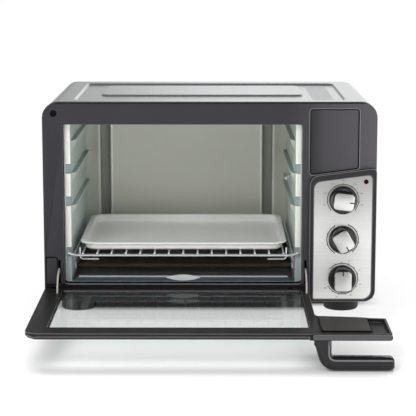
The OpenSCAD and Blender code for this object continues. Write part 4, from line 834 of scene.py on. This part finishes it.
def scale_marks(dial, count, start, sweep, length, line):
    """Ticks on an arc, from start on over sweep clockwise from the top, with a thin line under them."""
    rule = Rule(dial + " scale", Count=count, Start=radians(start), Sweep=radians(sweep), Radius=scale_r,
                Tick_length=length, Tick_width=tick_w, Line_width=line, Ink=ink_t)
    _, ticks, begin, reach, radius, tick_l, width, line_w, depth = rule.entry()
    row = rule.node("GeometryNodeMeshLine", {"Count": ticks})
    angle = begin + reach * rule.node("GeometryNodeInputIndex") * (1 / (count - 1))
    out = radius + tick_l * 0.5
    spot = rule.vector(out * angle.maths("SINE"), 0.0, out * angle.maths("COSINE"))
    spread = rule.node("GeometryNodeSetPosition", {"Geometry": row, "Position": spot})
    tick = rule.node("GeometryNodeMeshCube", {"Size": rule.vector(width, depth, tick_l)})
    turn = rule.node("FunctionNodeEulerToRotation", {0: rule.vector(y=angle)})
    arc = rule.node("GeometryNodeCurveArc", {"Resolution": 48, "Radius": radius, "Sweep Angle": reach,
                                             "Start Angle": pi / 2 - begin - reach}, mode="RADIUS")
    band = rule.node("GeometryNodeCurvePrimitiveQuadrilateral", {"Width": line_w, "Height": depth},
                     mode="RECTANGLE")
    upright = rule.moved(rule.swept(arc, band), Rotation=(pi / 2, 0, 0))
    printed(rule.build(rule.join(rule.set_out(spread, tick, Rotation=turn), upright), ink), dial)


def number(text, angle, radius, dial):
    """Adds a printed number beside a dial, at an angle clockwise from the top."""
    letters = bpy.data.curves.new("number " + text, "FONT")
    letters.body = text
    letters.size = digit_h
    letters.align_x = letters.align_y = "CENTER"
    letters.extrude = ink_t / 2
    mesh = frozen(added("number", letters))
    a = radians(angle)
    place = Matrix.Translation((radius * sin(a), 0, radius * cos(a)))
    mesh.transform(place @ Matrix.Rotation(pi / 2, 4, "X"))
    printed(mesh, dial)


scale_marks("temperature", 9, -130, 260, 0.0016, 0.0010)
for start in (-150, 20):
    scale_marks("mode", 4, start, 120, 0.0016, 0.0013)
scale_marks("timer", 13, -50, 290, 0.0018, 0.0010)
for i in range(7):
    number(str(150 + 50 * i), -105 + 35 * i, 0.0275, "temperature")
for i in range(6):
    number(str(10 + 10 * i), 20 + 44 * i, 0.0272, "timer")
shown("dial_scales", marks, ink, "cabinet", "brushed_plate")


# Dials: a glossy black skirt and grip with a satin silver cap, pushed on a steel shaft.
# The grip is a rounded bar that narrows to its face, and a black mark on the cap shows its setting.
def round_box(half_x, half_y, radius, corner_steps=8):
    """Outline of a box round the origin with rounded corners, anticlockwise."""
    points = []
    for turn, sx, sy in ((0, 1, 1), (1, -1, 1), (2, -1, -1), (3, 1, -1)):
        for i in range(corner_steps + 1):
            a = pi / 2 * (turn + i / corner_steps)
            points.append((sx * (half_x - radius) + radius * cos(a),
                           sy * (half_y - radius) + radius * sin(a)))
    return points


def stacked(layers):
    """Shape through rounded boxes given as (half width, half length, corner radius, height)."""
    return skinned([[(x, y, h) for x, y in round_box(a, b, r)] for a, b, r, h in layers])


def joined(shape, extra):
    """Adds a second shape to a shape."""
    part = bpy.data.meshes.new("part")
    extra.to_mesh(part)
    extra.free()
    shape.from_mesh(part)


knob_gloss = moulded("knob gloss black", shade(26, 26, 27), 0.2, 0.000004, coat=0.5)
cap_finish = sheet("satin cap", shade(236, 236, 235), 0.42, 1200, spread=0.04)
skirt_r, skirt_h, skirt_edge, skirt_round = 0.020, 0.005, 0.0006, 0.0016
bore_r, sink, sink_r, sink_top_r = 0.0032, 0.0004, 0.0160, 0.0165
grip_h, cap_t = 0.014, 0.0015
face_h, cap_h = skirt_h + grip_h, skirt_h + grip_h + cap_t
grip_x, grip_y0, grip_y1 = 0.0125, 0.0186, 0.0160
cap_x, cap_y, cap_r = 0.01175, 0.014, 0.0055
mark_x, mark_l, mark_r = 0.0009, 0.006, 0.0003
knob_profile = [(bore_r, 0), (skirt_r - skirt_edge, 0), (skirt_r, skirt_edge),
                (skirt_r, skirt_h - skirt_round), (skirt_r - 0.0005, skirt_h - 0.0005),
                (skirt_r - skirt_round, skirt_h), (sink_top_r, skirt_h), (sink_r, skirt_h - sink),
                (bore_r, skirt_h - sink)]
grip_layers = [(grip_x, grip_y0, 0.0105, skirt_h - 0.001),
               (grip_x, grip_y0 - 0.0006, 0.0102, skirt_h + 0.004),
               (grip_x - 0.0001, grip_y1 + 0.0008, 0.0085, face_h - 0.004),
               (grip_x - 0.0002, grip_y1, 0.0075, face_h - 0.0012),
               (grip_x - 0.0005, grip_y1 - 0.0005, 0.0072, face_h - 0.0004),
               (grip_x - 0.0011, grip_y1 - 0.0012, 0.0066, face_h)]
cap_layers = [(cap_x - shrink, cap_y - shrink, cap_r - shrink, h) for shrink, h in (
    (0, face_h), (0, cap_h - 0.0007), (0.0002, cap_h - 0.0003), (0.0008, cap_h - 0.00005))]
knob_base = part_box("mode_knob")[1].y
for dial, pointer in (("timer", 0), ("mode", 150), ("temperature", 97)):
    seat = (Matrix.Translation((dial_x, knob_base, dial_zs[dial]))
            @ Matrix.Rotation(radians(pointer), 4, "Y") @ Matrix.Rotation(pi / 2, 4, "X"))
    knob = turned(knob_profile, sides=72)
    joined(knob, stacked(grip_layers))
    mark = stacked([(mark_x, mark_l / 2, mark_r, h) for h in (face_h, cap_h)])
    mark.transform(Matrix.Translation((0, cap_y - mark_l / 2, 0)))
    joined(knob, mark)
    cap = stacked(cap_layers)
    for shape in (knob, cap):
        shape.transform(seat)
    shown(dial + "_knob_moulding", knob, knob_gloss, dial + "_dial", "knob_black", dial + "_knob")
    shown(dial + "_cap_plate", cap, cap_finish, dial + "_dial", "knob_silver", dial + "_cap")
    coated(steel, dial + "_shaft")


# Door: a satin black moulding that drops open, with a glass pane held under its lip by a retainer.
# A wing beside the pane carries the handle behind a flat cover, and two curved steel stays run into
# slots in the front frame.
door_finish = moulded("door satin black", shade(36, 35, 35), 0.42, 0.000006, shine=0.1)
# A lighter grey on the door's rounded edges, as a painted highlight.
door_painted_highlight = moulded("door edge sheen", shade(96, 94, 94), 0.35, 0.000006, shine=0.2)
cover_finish = moulded("cover satin black", shade(46, 43, 42), 0.4, 0.00001, shine=0.15)
cover_low, cover_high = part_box("handle_cover")
cover_reach, door_near, door_half, small_edge = 0.002, -0.052, 0.12, 0.0015


def door_edge(middle, edge):
    """The door's long edges, without the small ones round its hinges."""
    return edge.calc_length() > small_edge and (middle.y < door_near or abs(middle.x) < door_half)


def cover_edge(middle, edge):
    """The cover's near and right edges, whose rounding is painted black as the shadow in its gap to the wing.
    """
    return middle.y < cover_low.y + cover_reach or middle.x > cover_high.x - cover_reach


softened("door_moulding", "door_frame", 0.0007, door_edge, (door_finish, door_finish, door_painted_highlight), "door",
         "door_plastic", 2)
coated(door_finish, "glass_retainer")
softened("cover_moulding", "handle_cover", 0.0014, cover_edge, (cover_finish, cover_finish, black_flank_and_painted_shade),
         "door", "door_plastic")
coated(sheet("plated stay", shade(232, 224, 212), 0.3, 900, metal=0.5, spread=0.08), "door_stay_left",
       "door_stay_right")
white = (1.0, 1.0, 1.0, 1.0)
pane = Finish("clear pane")
clear = pane.node("ShaderNodeBsdfTransparent", {"Color": (0.95, 0.965, 0.96, 1.0)})
gloss = pane.node("ShaderNodeBsdfGlossy", {"Color": white, "Roughness": 0.02})
slope = pane.node("ShaderNodeLayerWeight", {"Blend": 0.5}, out="Facing")
mirror = (slope ** 5.0 * 0.5 + 0.035) * (pane.noise(9, 4) * 0.1 + 0.95)
coated(pane.end(pane.node("ShaderNodeMixShader", {0: mirror, 1: clear, 2: gloss})), "door_glass")


# Handle: one glossy charcoal moulding, a leg and a rounded grip bar under an arm along the wing.
# Two screws from inside the wing hold it.
handle_finish = moulded("handle gloss", shade(27, 27, 29), 0.24, 0.000006, coat=0.1, shine=0.25)
# Lighter copies of the same moulding: a painted highlight on its upper front edges, and painted light on the
# arm's front.
handle_painted_highlight = moulded("handle edge sheen", shade(112, 111, 114), 0.3, 0.000006)
arm_painted_light = moulded("handle arm satin", shade(72, 71, 75), 0.35, 0.000006)
grip_low, grip_high, grip_mid, grip_half = span("door_handle")
wing_y, wing_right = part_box("door_frame")[0].y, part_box("door_frame")[1].x
arm_low, arm_r, leg_top, leg_low, leg_in = 0.041, 0.003, 0.040, 0.030, 0.1544
root_left, root_low, root_high, root_r, root_sink = 0.1322, 0.034, 0.046, 0.002, 0.0004
bar_h, bar_bend, grip_round, round_min, bar_xs = 0.017, 0.006, 0.0055, 0.0008, (0.175, 0.200)
bar_low, bar_high = grip_low.z, grip_low.z + bar_h
leg_out = [(0.1317, leg_top), (0.1345, leg_low)]
leg_bend = [(0.1373, 0.020), (0.1424, bar_low), (0.1600, bar_low)]
plate_edge = [(0, 0.0009), (0.0003, 0.0003), (0.0009, 0.0)]
highlight_facing_y, highlight_inward, arm_area = (-0.97, -0.78), 0.2, 0.0001


def eased(start, corner, end, count):
    """Points on a soft corner from start to end."""
    start, corner, end = (Vector(p) for p in (start, corner, end))
    shares = [i / (count - 1) for i in range(count)]
    return [start * (1 - t) ** 2 + corner * 2 * t * (1 - t) + end * t ** 2 for t in shares]


outer = [*leg_out, *eased(*leg_bend, 9)]
inner = [(leg_in, leg_top), (leg_in, leg_low),
         *eased((leg_in, bar_high + 0.005), (leg_in, bar_high), (leg_in + bar_bend, bar_high), 9)]
ends = [radians(turn) for turn in (0, 25, 45, 60, 75, 86)]
end_xs = [grip_high.x - grip_round * (1 - sin(a)) for a in ends]
outer += [(x, bar_low) for x in (*bar_xs, *end_xs)]
inner += [(x, bar_high) for x in (*bar_xs, *end_xs)]
shrinks = [0.0] * (len(outer) - len(ends)) + [grip_round * 0.9 * (1 - cos(a)) for a in ends]
grip_rings = []
for one, two, shrink in zip(outer, inner, shrinks):
    middle, way = (Vector(one) + Vector(two)) / 2, Vector(two) - Vector(one)
    outline = round_box(way.length / 2 - shrink, grip_half.y - shrink, max(grip_round - shrink, round_min))
    way.normalize()
    grip_rings.append([(middle.x + way.x * u, grip_mid.y + v, middle.y + way.y * u) for u, v in outline])
handle = skinned(grip_rings)
for left, low_z, right, high_z, corner, front in (
        (grip_low.x, arm_low, wing_right, grip_high.z, arm_r, grip_low.y),
        (root_left, root_low, leg_in - 0.001, root_high, root_r, grip_low.y + root_sink)):
    rings = []
    for run, inset in (*plate_edge, (wing_y - front, 0.0)):
        outline = round_box((right - left) / 2 - inset, (high_z - low_z) / 2 - inset, corner - inset)
        rings.append([((left + right) / 2 + u, front + run, (low_z + high_z) / 2 + v) for u, v in outline])
    joined(handle, skinned(rings))
handle.normal_update()
# Faces of the upper front edges get the painted highlight, and the arm's large front faces the painted light.
for face in handle.faces:
    middle, facing = face.calc_center_median(), face.normal
    inward = facing.z if middle.x > leg_in + 0.01 else max(facing.x, facing.z)
    if highlight_facing_y[0] < facing.y < highlight_facing_y[1] and inward > highlight_inward:
        face.material_index = 1
    elif facing.y < -0.9 and middle.z > arm_low and face.calc_area() > arm_area:
        face.material_index = 2
shown("handle_moulding", handle, handle_finish, "door", "handle_plastic", "door_handle",
      more=[handle_painted_highlight, arm_painted_light])
coated(steel, "handle_screws")


# Crumb tray: a shallow folded tray of thin steel that slides under the lower rods.
# Its front is folded up into a lip with a rolled edge and slanted ends, and a lens-shaped pull tab
# leans out of the lip's middle.
tray_low, tray_high, tray_mid, _ = span("crumb_tray")
tab_t, tray_t, lip_h, lip_slant, lip_roll = 0.0015, 0.0009, 0.0074, 0.008, 0.0009
lip_y, lip_top = tray_low.y + tab_t, tray_low.z + lip_h
tray_floor, tray_top = tray_low.z + 0.0006, tray_low.z + 0.0065
# The tray's colour carries painted light: a painted highlight on the rolled edge, a dark teal painted
# reflection on the lip, and painted shade inside it.
tray_painted_light = Finish("tray steel")
inner_painted_shade = tray_painted_light.along("Y", lip_y + 0.0025, lip_y + 0.0035)
roll_painted_highlight = tray_painted_light.along("Z", lip_top - 0.0018, lip_top - 0.0014)
lip_painted_reflection = tray_painted_light.tint(roll_painted_highlight, shade(66, 88, 92), shade(178, 186, 188))
tray_finish = tray_painted_light.skin(Base_Color=tray_painted_light.tint(inner_painted_shade, lip_painted_reflection, shade(112, 110, 106)), Metallic=0.35,
                            Roughness=tray_painted_light.noise(30, 4) * 0.1 + 0.45)
# Section from the lip's rolled edge down and back to the rear wall's top: y, z and share of the slant.
tray_path = [(lip_y + lip_roll * (1 + cos(a)), lip_top - lip_roll + lip_roll * sin(a), 1.0)
             for a in (radians(-30 + 30 * i) for i in range(9))]
tray_path += [(lip_y, tray_low.z + 0.003, 0.4), (lip_y + 0.0003, tray_floor + 0.0005, 0.05),
              (lip_y + 0.0012, tray_floor, 0.0), (tray_high.y - 0.002, tray_floor, 0.0),
              (tray_high.y - 0.0009, tray_floor + 0.0005, 0.0),
              (tray_high.y - 0.0005, tray_floor + 0.002, 0.0), (tray_high.y - 0.0005, tray_top, 0.0)]
tray = bmesh.new()
lanes = []
for share in (0.0, 0.25, 0.5, 0.75, 1.0):
    lanes.append([])
    for y, z, slant in tray_path:
        left, right = tray_low.x + lip_slant * slant, tray_high.x - lip_slant * slant
        lanes[-1].append(tray.verts.new((left + (right - left) * share, y, z)))
gridded(tray, lanes)
for lane in (lanes[0], lanes[-1]):
    floor_edge = [v for v in lane if v.co.z < tray_floor + 0.0001]
    rim = [tray.verts.new((v.co.x, v.co.y, tray_top)) for v in floor_edge]
    tray.faces.new((floor_edge[0], floor_edge[1], rim[1], rim[0]))
bmesh.ops.recalc_face_normals(tray, faces=tray.faces)
thickened(shown("tray_pressing", tray, tray_finish, "tray", "tray_sheet", "crumb_tray", crease=50), tray_t, 0)
tab_w, tab_h, tab_z, tab_lean = 0.049, 0.009, tray_low.z + 0.0052, 0.0002
bulge = (tab_w ** 2 / tab_h + tab_h) / 4
tab_xs = [tab_w * (i / 16 - 0.5) for i in range(17)]
tab_edge = [(x, max(sqrt(bulge ** 2 - x ** 2) - bulge + tab_h / 2, 0.0002)) for x in tab_xs]
tab_edge += [(x, -h) for x, h in reversed(tab_edge)]
tab_rings = []
for depth, shrink in ((tab_t, 1.0), (0.0004, 1.0), (0.0, 0.96), (0.0, 0.5)):
    tab_rings.append([(tray_mid.x + x * shrink, tray_low.y + depth + tab_lean * (h / tab_h + 0.5),
                       tab_z + h * shrink) for x, h in tab_edge])
tab_finish = sheet("tab steel", shade(222, 232, 232), 0.4, 700, metal=0.5, spread=0.05)
shown("tray_tab", skinned(tab_rings), tab_finish, "tray", "tray_sheet")


# Rack: chrome plated wires, cross wires spot welded on a bent frame.
# The front bar's ends turn up to hang on the ribs, and two hooks keep the pan from sliding forward.
chrome = sheet("chrome wire", shade(238, 239, 240), 0.2, 1400, metal=0.72, spread=0.05)


def bent(points, radius):
    """Path through points with its corners rounded."""
    points = [Vector(p) for p in points]
    path = [points[0]]
    for before, corner, after in zip(points, points[1:], points[2:]):
        come, leave = before - corner, after - corner
        reach = min(radius, come.length * 0.49, leave.length * 0.49)
        path += eased(corner + come.normalized() * reach, corner, corner + leave.normalized() * reach, 7)
    return [*path, points[-1]]


def drawn_wire(shape, path, diameter, sides=14):
    """Adds a round wire with domed ends along a path to a shape."""
    path = [Vector(p) for p in path]
    radius, last = diameter / 2, len(path) - 1
    rings = []
    side = None
    for k in range(-1, last + 2):
        here = min(max(k, 0), last)
        way = path[min(here + 1, last)] - path[max(here - 1, 0)]
        way.normalize()
        side = side or way.orthogonal().normalized()
        side = (side - way * side.dot(way)).normalized()
        other = way.cross(side)
        point = path[here] + way * (k - here) * radius * 0.7
        r = radius if k == here else radius * 0.35
        angles = [2 * pi * i / sides for i in range(sides)]
        rings.append([point + (side * cos(a) + other * sin(a)) * r for a in angles])
    joined(shape, skinned(rings))


bar_d, side_d, front_d, cross_d, weld = 0.005, 0.004, 0.0036, 0.003, 0.0004
ear_r, hook_r = 0.009, 0.005
rack_low, rack_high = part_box("wire_rack")
rack_gap, cross_pitch, cross_side = 0.0035, 0.0204, 0.008
bar_z = rack_low.z + bar_d / 2
rack_y0, rack_y1 = rack_low.y + bar_d / 2, rack_high.y - bar_d / 2
rack_x = (liner_left + rack_gap, liner_right - rack_gap)
ear, ear_run, ear_lift, ear_back, front_seat = 0.005, 0.010, 0.0035, 0.002, 0.0013
ear_y, front_z = rack_y0 + ear_back, bar_z + front_seat
ear_left, ear_right = liner_left - ear, liner_right + ear
hook_in, hook_l, hook_h, hook_d, hook_drop = 0.009, 0.026, 0.0165, 0.0022, 0.0045
hook_y, hook_z = rack_y0 + (front_d + hook_d) / 2 - weld, bar_z - hook_drop
rack = bmesh.new()
front_bar = [(ear_left, ear_y, front_z + ear_lift), (ear_left + ear_run, rack_y0, front_z),
             (ear_right - ear_run, rack_y0, front_z), (ear_right, ear_y, front_z + ear_lift)]
drawn_wire(rack, bent(front_bar, ear_r), front_d)
drawn_wire(rack, [(x, rack_y1, bar_z) for x in rack_x], bar_d)
for x, way in zip(rack_x, (1, -1)):
    drawn_wire(rack, [(x, ear_y, bar_z), (x, rack_y1, bar_z)], side_d)
    hook_x = x + way * hook_in
    drawn_wire(rack, bent([(hook_x, hook_y, hook_z + hook_h), (hook_x, hook_y, hook_z),
                           (hook_x + way * hook_l, hook_y, hook_z)], hook_r), hook_d)
cross_count = int((rack_x[1] - rack_x[0] - 2 * cross_side) / cross_pitch) + 1
cross_first = (liner_left + liner_right) / 2 - (cross_count - 1) * cross_pitch / 2
wires = Rule("cross wires", Count=cross_count, First=cross_first, Pitch=cross_pitch, Front=rack_y0,
             Back=rack_y1, Height=bar_z + (bar_d + cross_d) / 2 - weld, Diameter=cross_d)
_, count, first, pitch, front, back, height, wire_d = wires.entry()
row = wires.node("GeometryNodeMeshLine", {"Count": count, "Start Location": wires.vector(first),
                                          "Offset": wires.vector(pitch)})
line = wires.node("GeometryNodeCurvePrimitiveLine", {"Start": wires.vector(0.0, front, height),
                                                     "End": wires.vector(0.0, back, height)})
ring = wires.node("GeometryNodeCurvePrimitiveCircle", {"Resolution": 12, "Radius": wire_d * 0.5})
rack.from_mesh(wires.build(wires.set_out(row, wires.swept(line, ring)), chrome))
shown("rack_wires", rack, chrome, "rack", "chrome_wire", "wire_rack")


# Baking pan: one pressing of plain aluminium with rounded corners and a rolled rim, set on the rack.
# Its section is carried round the outline, out over the rim and back under it.
pan_finish = sheet("pan aluminium", shade(248, 247, 245), 0.36, 90, (1, 6, 1), metal=0.25, spread=0.05)
pan_low, pan_high, pan_mid, pan_half = span("bake_pan")
pan_rim, pan_t, pan_r, pan_fillet, pan_flat = 0.007, 0.001, 0.024, 0.0035, 0.012
pan_wall, pan_h = pan_rim + pan_t, pan_high.z - pan_low.z
bow = [0, 0.45, 0.9, 1.25, pi / 2]
rim_roll = [(pan_wall, 0.002), (pan_wall - 0.0006, 0.0006), (pan_wall - 0.002, 0), (0.002, 0),
            (0.0006, 0.0004), (0.0, 0.0014), (0.0004, 0.0024), (0.0016, 0.0026), (0.002, 0.001),
            (pan_rim - 0.0006, 0.001), (pan_rim, 0.002)]
pan_layers = [(pan_rim + pan_flat, pan_t),
              *((pan_wall + pan_fillet * (1 - sin(a)), pan_t + pan_fillet * (1 - cos(a))) for a in bow),
              *((inset, pan_h - drop) for inset, drop in rim_roll),
              *((pan_rim + (pan_fillet + pan_t) * (1 - sin(a)), (pan_fillet + pan_t) * (1 - cos(a)))
                for a in reversed(bow)), (pan_rim + pan_flat, 0.0)]
pan_rings = [[(pan_mid.x + x, pan_mid.y + y, pan_low.z + h)
              for x, y in round_box(pan_half.x - inset, pan_half.y - inset, pan_r - inset, 12)]
             for inset, h in pan_layers]
shown("pan_pressing", skinned(pan_rings), pan_finish, "pan", "pan_sheet", "bake_pan")


# Studio: a plain white floor that keeps the shadow and carries a painted shadow under the casing, a white
# back with a darker front and ceiling for the gloss to pick up, and three soft lights.
def rays(net, *kinds):
    """1 for rays of these kinds and 0 for others."""
    first, *rest = (net.node("ShaderNodeLightPath", out=f"Is {kind} Ray") for kind in kinds)
    return sum(rest, first)


pane_y, pane_x = (0.020, 0.050), (0.150, 0.138)
case_front, case_back, case_side, door_y = (0.05, 0.075), (0.30, 0.26), (0.26, 0.2), (-0.14, -0.09)
dimmed, lift, lift_min = 0.97, 0.78, 0.04
ground = Finish("studio floor")
# Painted shadow on the floor under the casing, and in the strip seen through the pane: there its glow is cut
# and its colour darkened.
pane_painted_shadow = ground.along("Y", *pane_y) * ground.along("X", *pane_x)
hidden = (1.0 - (1.0 - ground.along("Y", *case_front)) * (1.0 - pane_painted_shadow)) * ground.along("Y", *case_back)
for way in (-1, 1):
    hidden = hidden * ground.along("X", *(way * x for x in case_side))
# The glow is weaker in front of the door line, so the door's shadow stays deep, and stronger behind it, a
# painted lift of the shade under the pane and beside the casing.
lifted = ground.along("Y", *door_y) * lift + lift_min
seen = rays(ground, "Camera", "Glossy", "Transmission") * (1.0 - hidden * dimmed) * lifted
paper = ground.node("ShaderNodeBsdfDiffuse",
                    {"Color": ground.tint(hidden, shade(247, 247, 247), shade(40, 40, 40))})
glow = ground.node("ShaderNodeEmission", {"Color": white, "Strength": 1.0})
floor_mesh = bpy.data.meshes.new("floor")
reach = 40
floor_mesh.from_pydata([(-reach, -reach, 0), (reach, -reach, 0), (reach, reach, 0), (-reach, reach, 0)], [],
                       [(0, 1, 2, 3)])
floor_mesh.materials.append(ground.end(ground.node("ShaderNodeMixShader", {0: seen, 1: paper, 2: glow})))
added("floor", floor_mesh)

world = bpy.data.worlds.new("studio")
world.use_nodes = True
bpy.context.scene.world = world
sky = Net(world.node_tree)
look = sky.node("ShaderNodeTexCoord", out="Generated")
sideways, behind, above = (sky.node("ShaderNodeSeparateXYZ", {"Vector": look}, out=axis) for axis in "XYZ")


def fade(value, start, end, low=0.0, high=1.0):
    """Soft ramp of a world direction from one strength to another."""
    return sky.node("ShaderNodeMapRange", {"Value": value, "From Min": start, "From Max": end, "To Min": low,
                                           "To Max": high}, interpolation_type="SMOOTHSTEP")


def lit(strength):
    return sky.node("ShaderNodeBackground", {"Color": white, "Strength": strength})


far_y, far_top, far_side = (-0.2, 0.6), (0.3, 0.7, 1.0, 0.0), (-0.125, 0.03, 0.33, 1.05)
strip_x, strip_top, strip_share = (0.7, 0.92), (0.55, 0.85, 1.0, 0.0), 0.6
dark_glow, front_glow = 0.07, (0.1, -0.9, 0.36, 1.0)
lit_back = fade(behind, *far_y) * fade(above, *far_top) * fade(sideways, *far_side)
strips = fade(sideways.maths("ABSOLUTE"), *strip_x) * fade(above, *strip_top)
mirrored = sky.node("ShaderNodeMixShader", {0: rays(sky, "Glossy"), 1: lit(fade(behind, *front_glow)),
                                            2: lit(lit_back + strips * strip_share + dark_glow)})
sky.send(sky.node("ShaderNodeMixShader", {0: rays(sky, "Camera", "Transmission"), 1: mirrored, 2: lit(1.0)}),
         "ShaderNodeOutputWorld")


def lamp(name, kind, at, towards, energy, size, in_gloss=False):
    """Soft light at a place, turned towards a point."""
    data = bpy.data.lights.new(name, kind)
    data.energy = energy
    if kind == "SUN":
        data.angle = size
    else:
        data.shape = "SQUARE"
        data.size = size
    holder = added(name, data)
    holder.location = at
    holder.rotation_mode = "QUATERNION"
    holder.rotation_quaternion = (Vector(towards) - Vector(at)).to_track_quat("-Z", "Y")
    holder.visible_glossy = in_gloss


lamp("overhead", "SUN", (-0.1, 1.1, 2.0), (0, 0, 0), energy=2.25, size=radians(55))
lamp("front softbox", "AREA", (-1.0, -2.2, 1.5), (0, 0, 0.15), energy=30, size=1.2)
lamp("right softbox", "AREA", (1.7, -1.5, 0.8), (0.15, 0, 0.15), energy=10, size=1.9, in_gloss=True)

tilt_down, swing = 9.7356, 0.205
camera = bpy.data.cameras.new("camera")
camera.lens = 134.827
camera.sensor_width = 36
eye = added("camera", camera)
eye.location = (0.005464, -2.207163, 0.536003)
eye.rotation_euler = (radians(90 - tilt_down), 0, radians(swing))
bpy.context.scene.camera = eye
bpy.context.scene.view_settings.view_transform = "Standard"
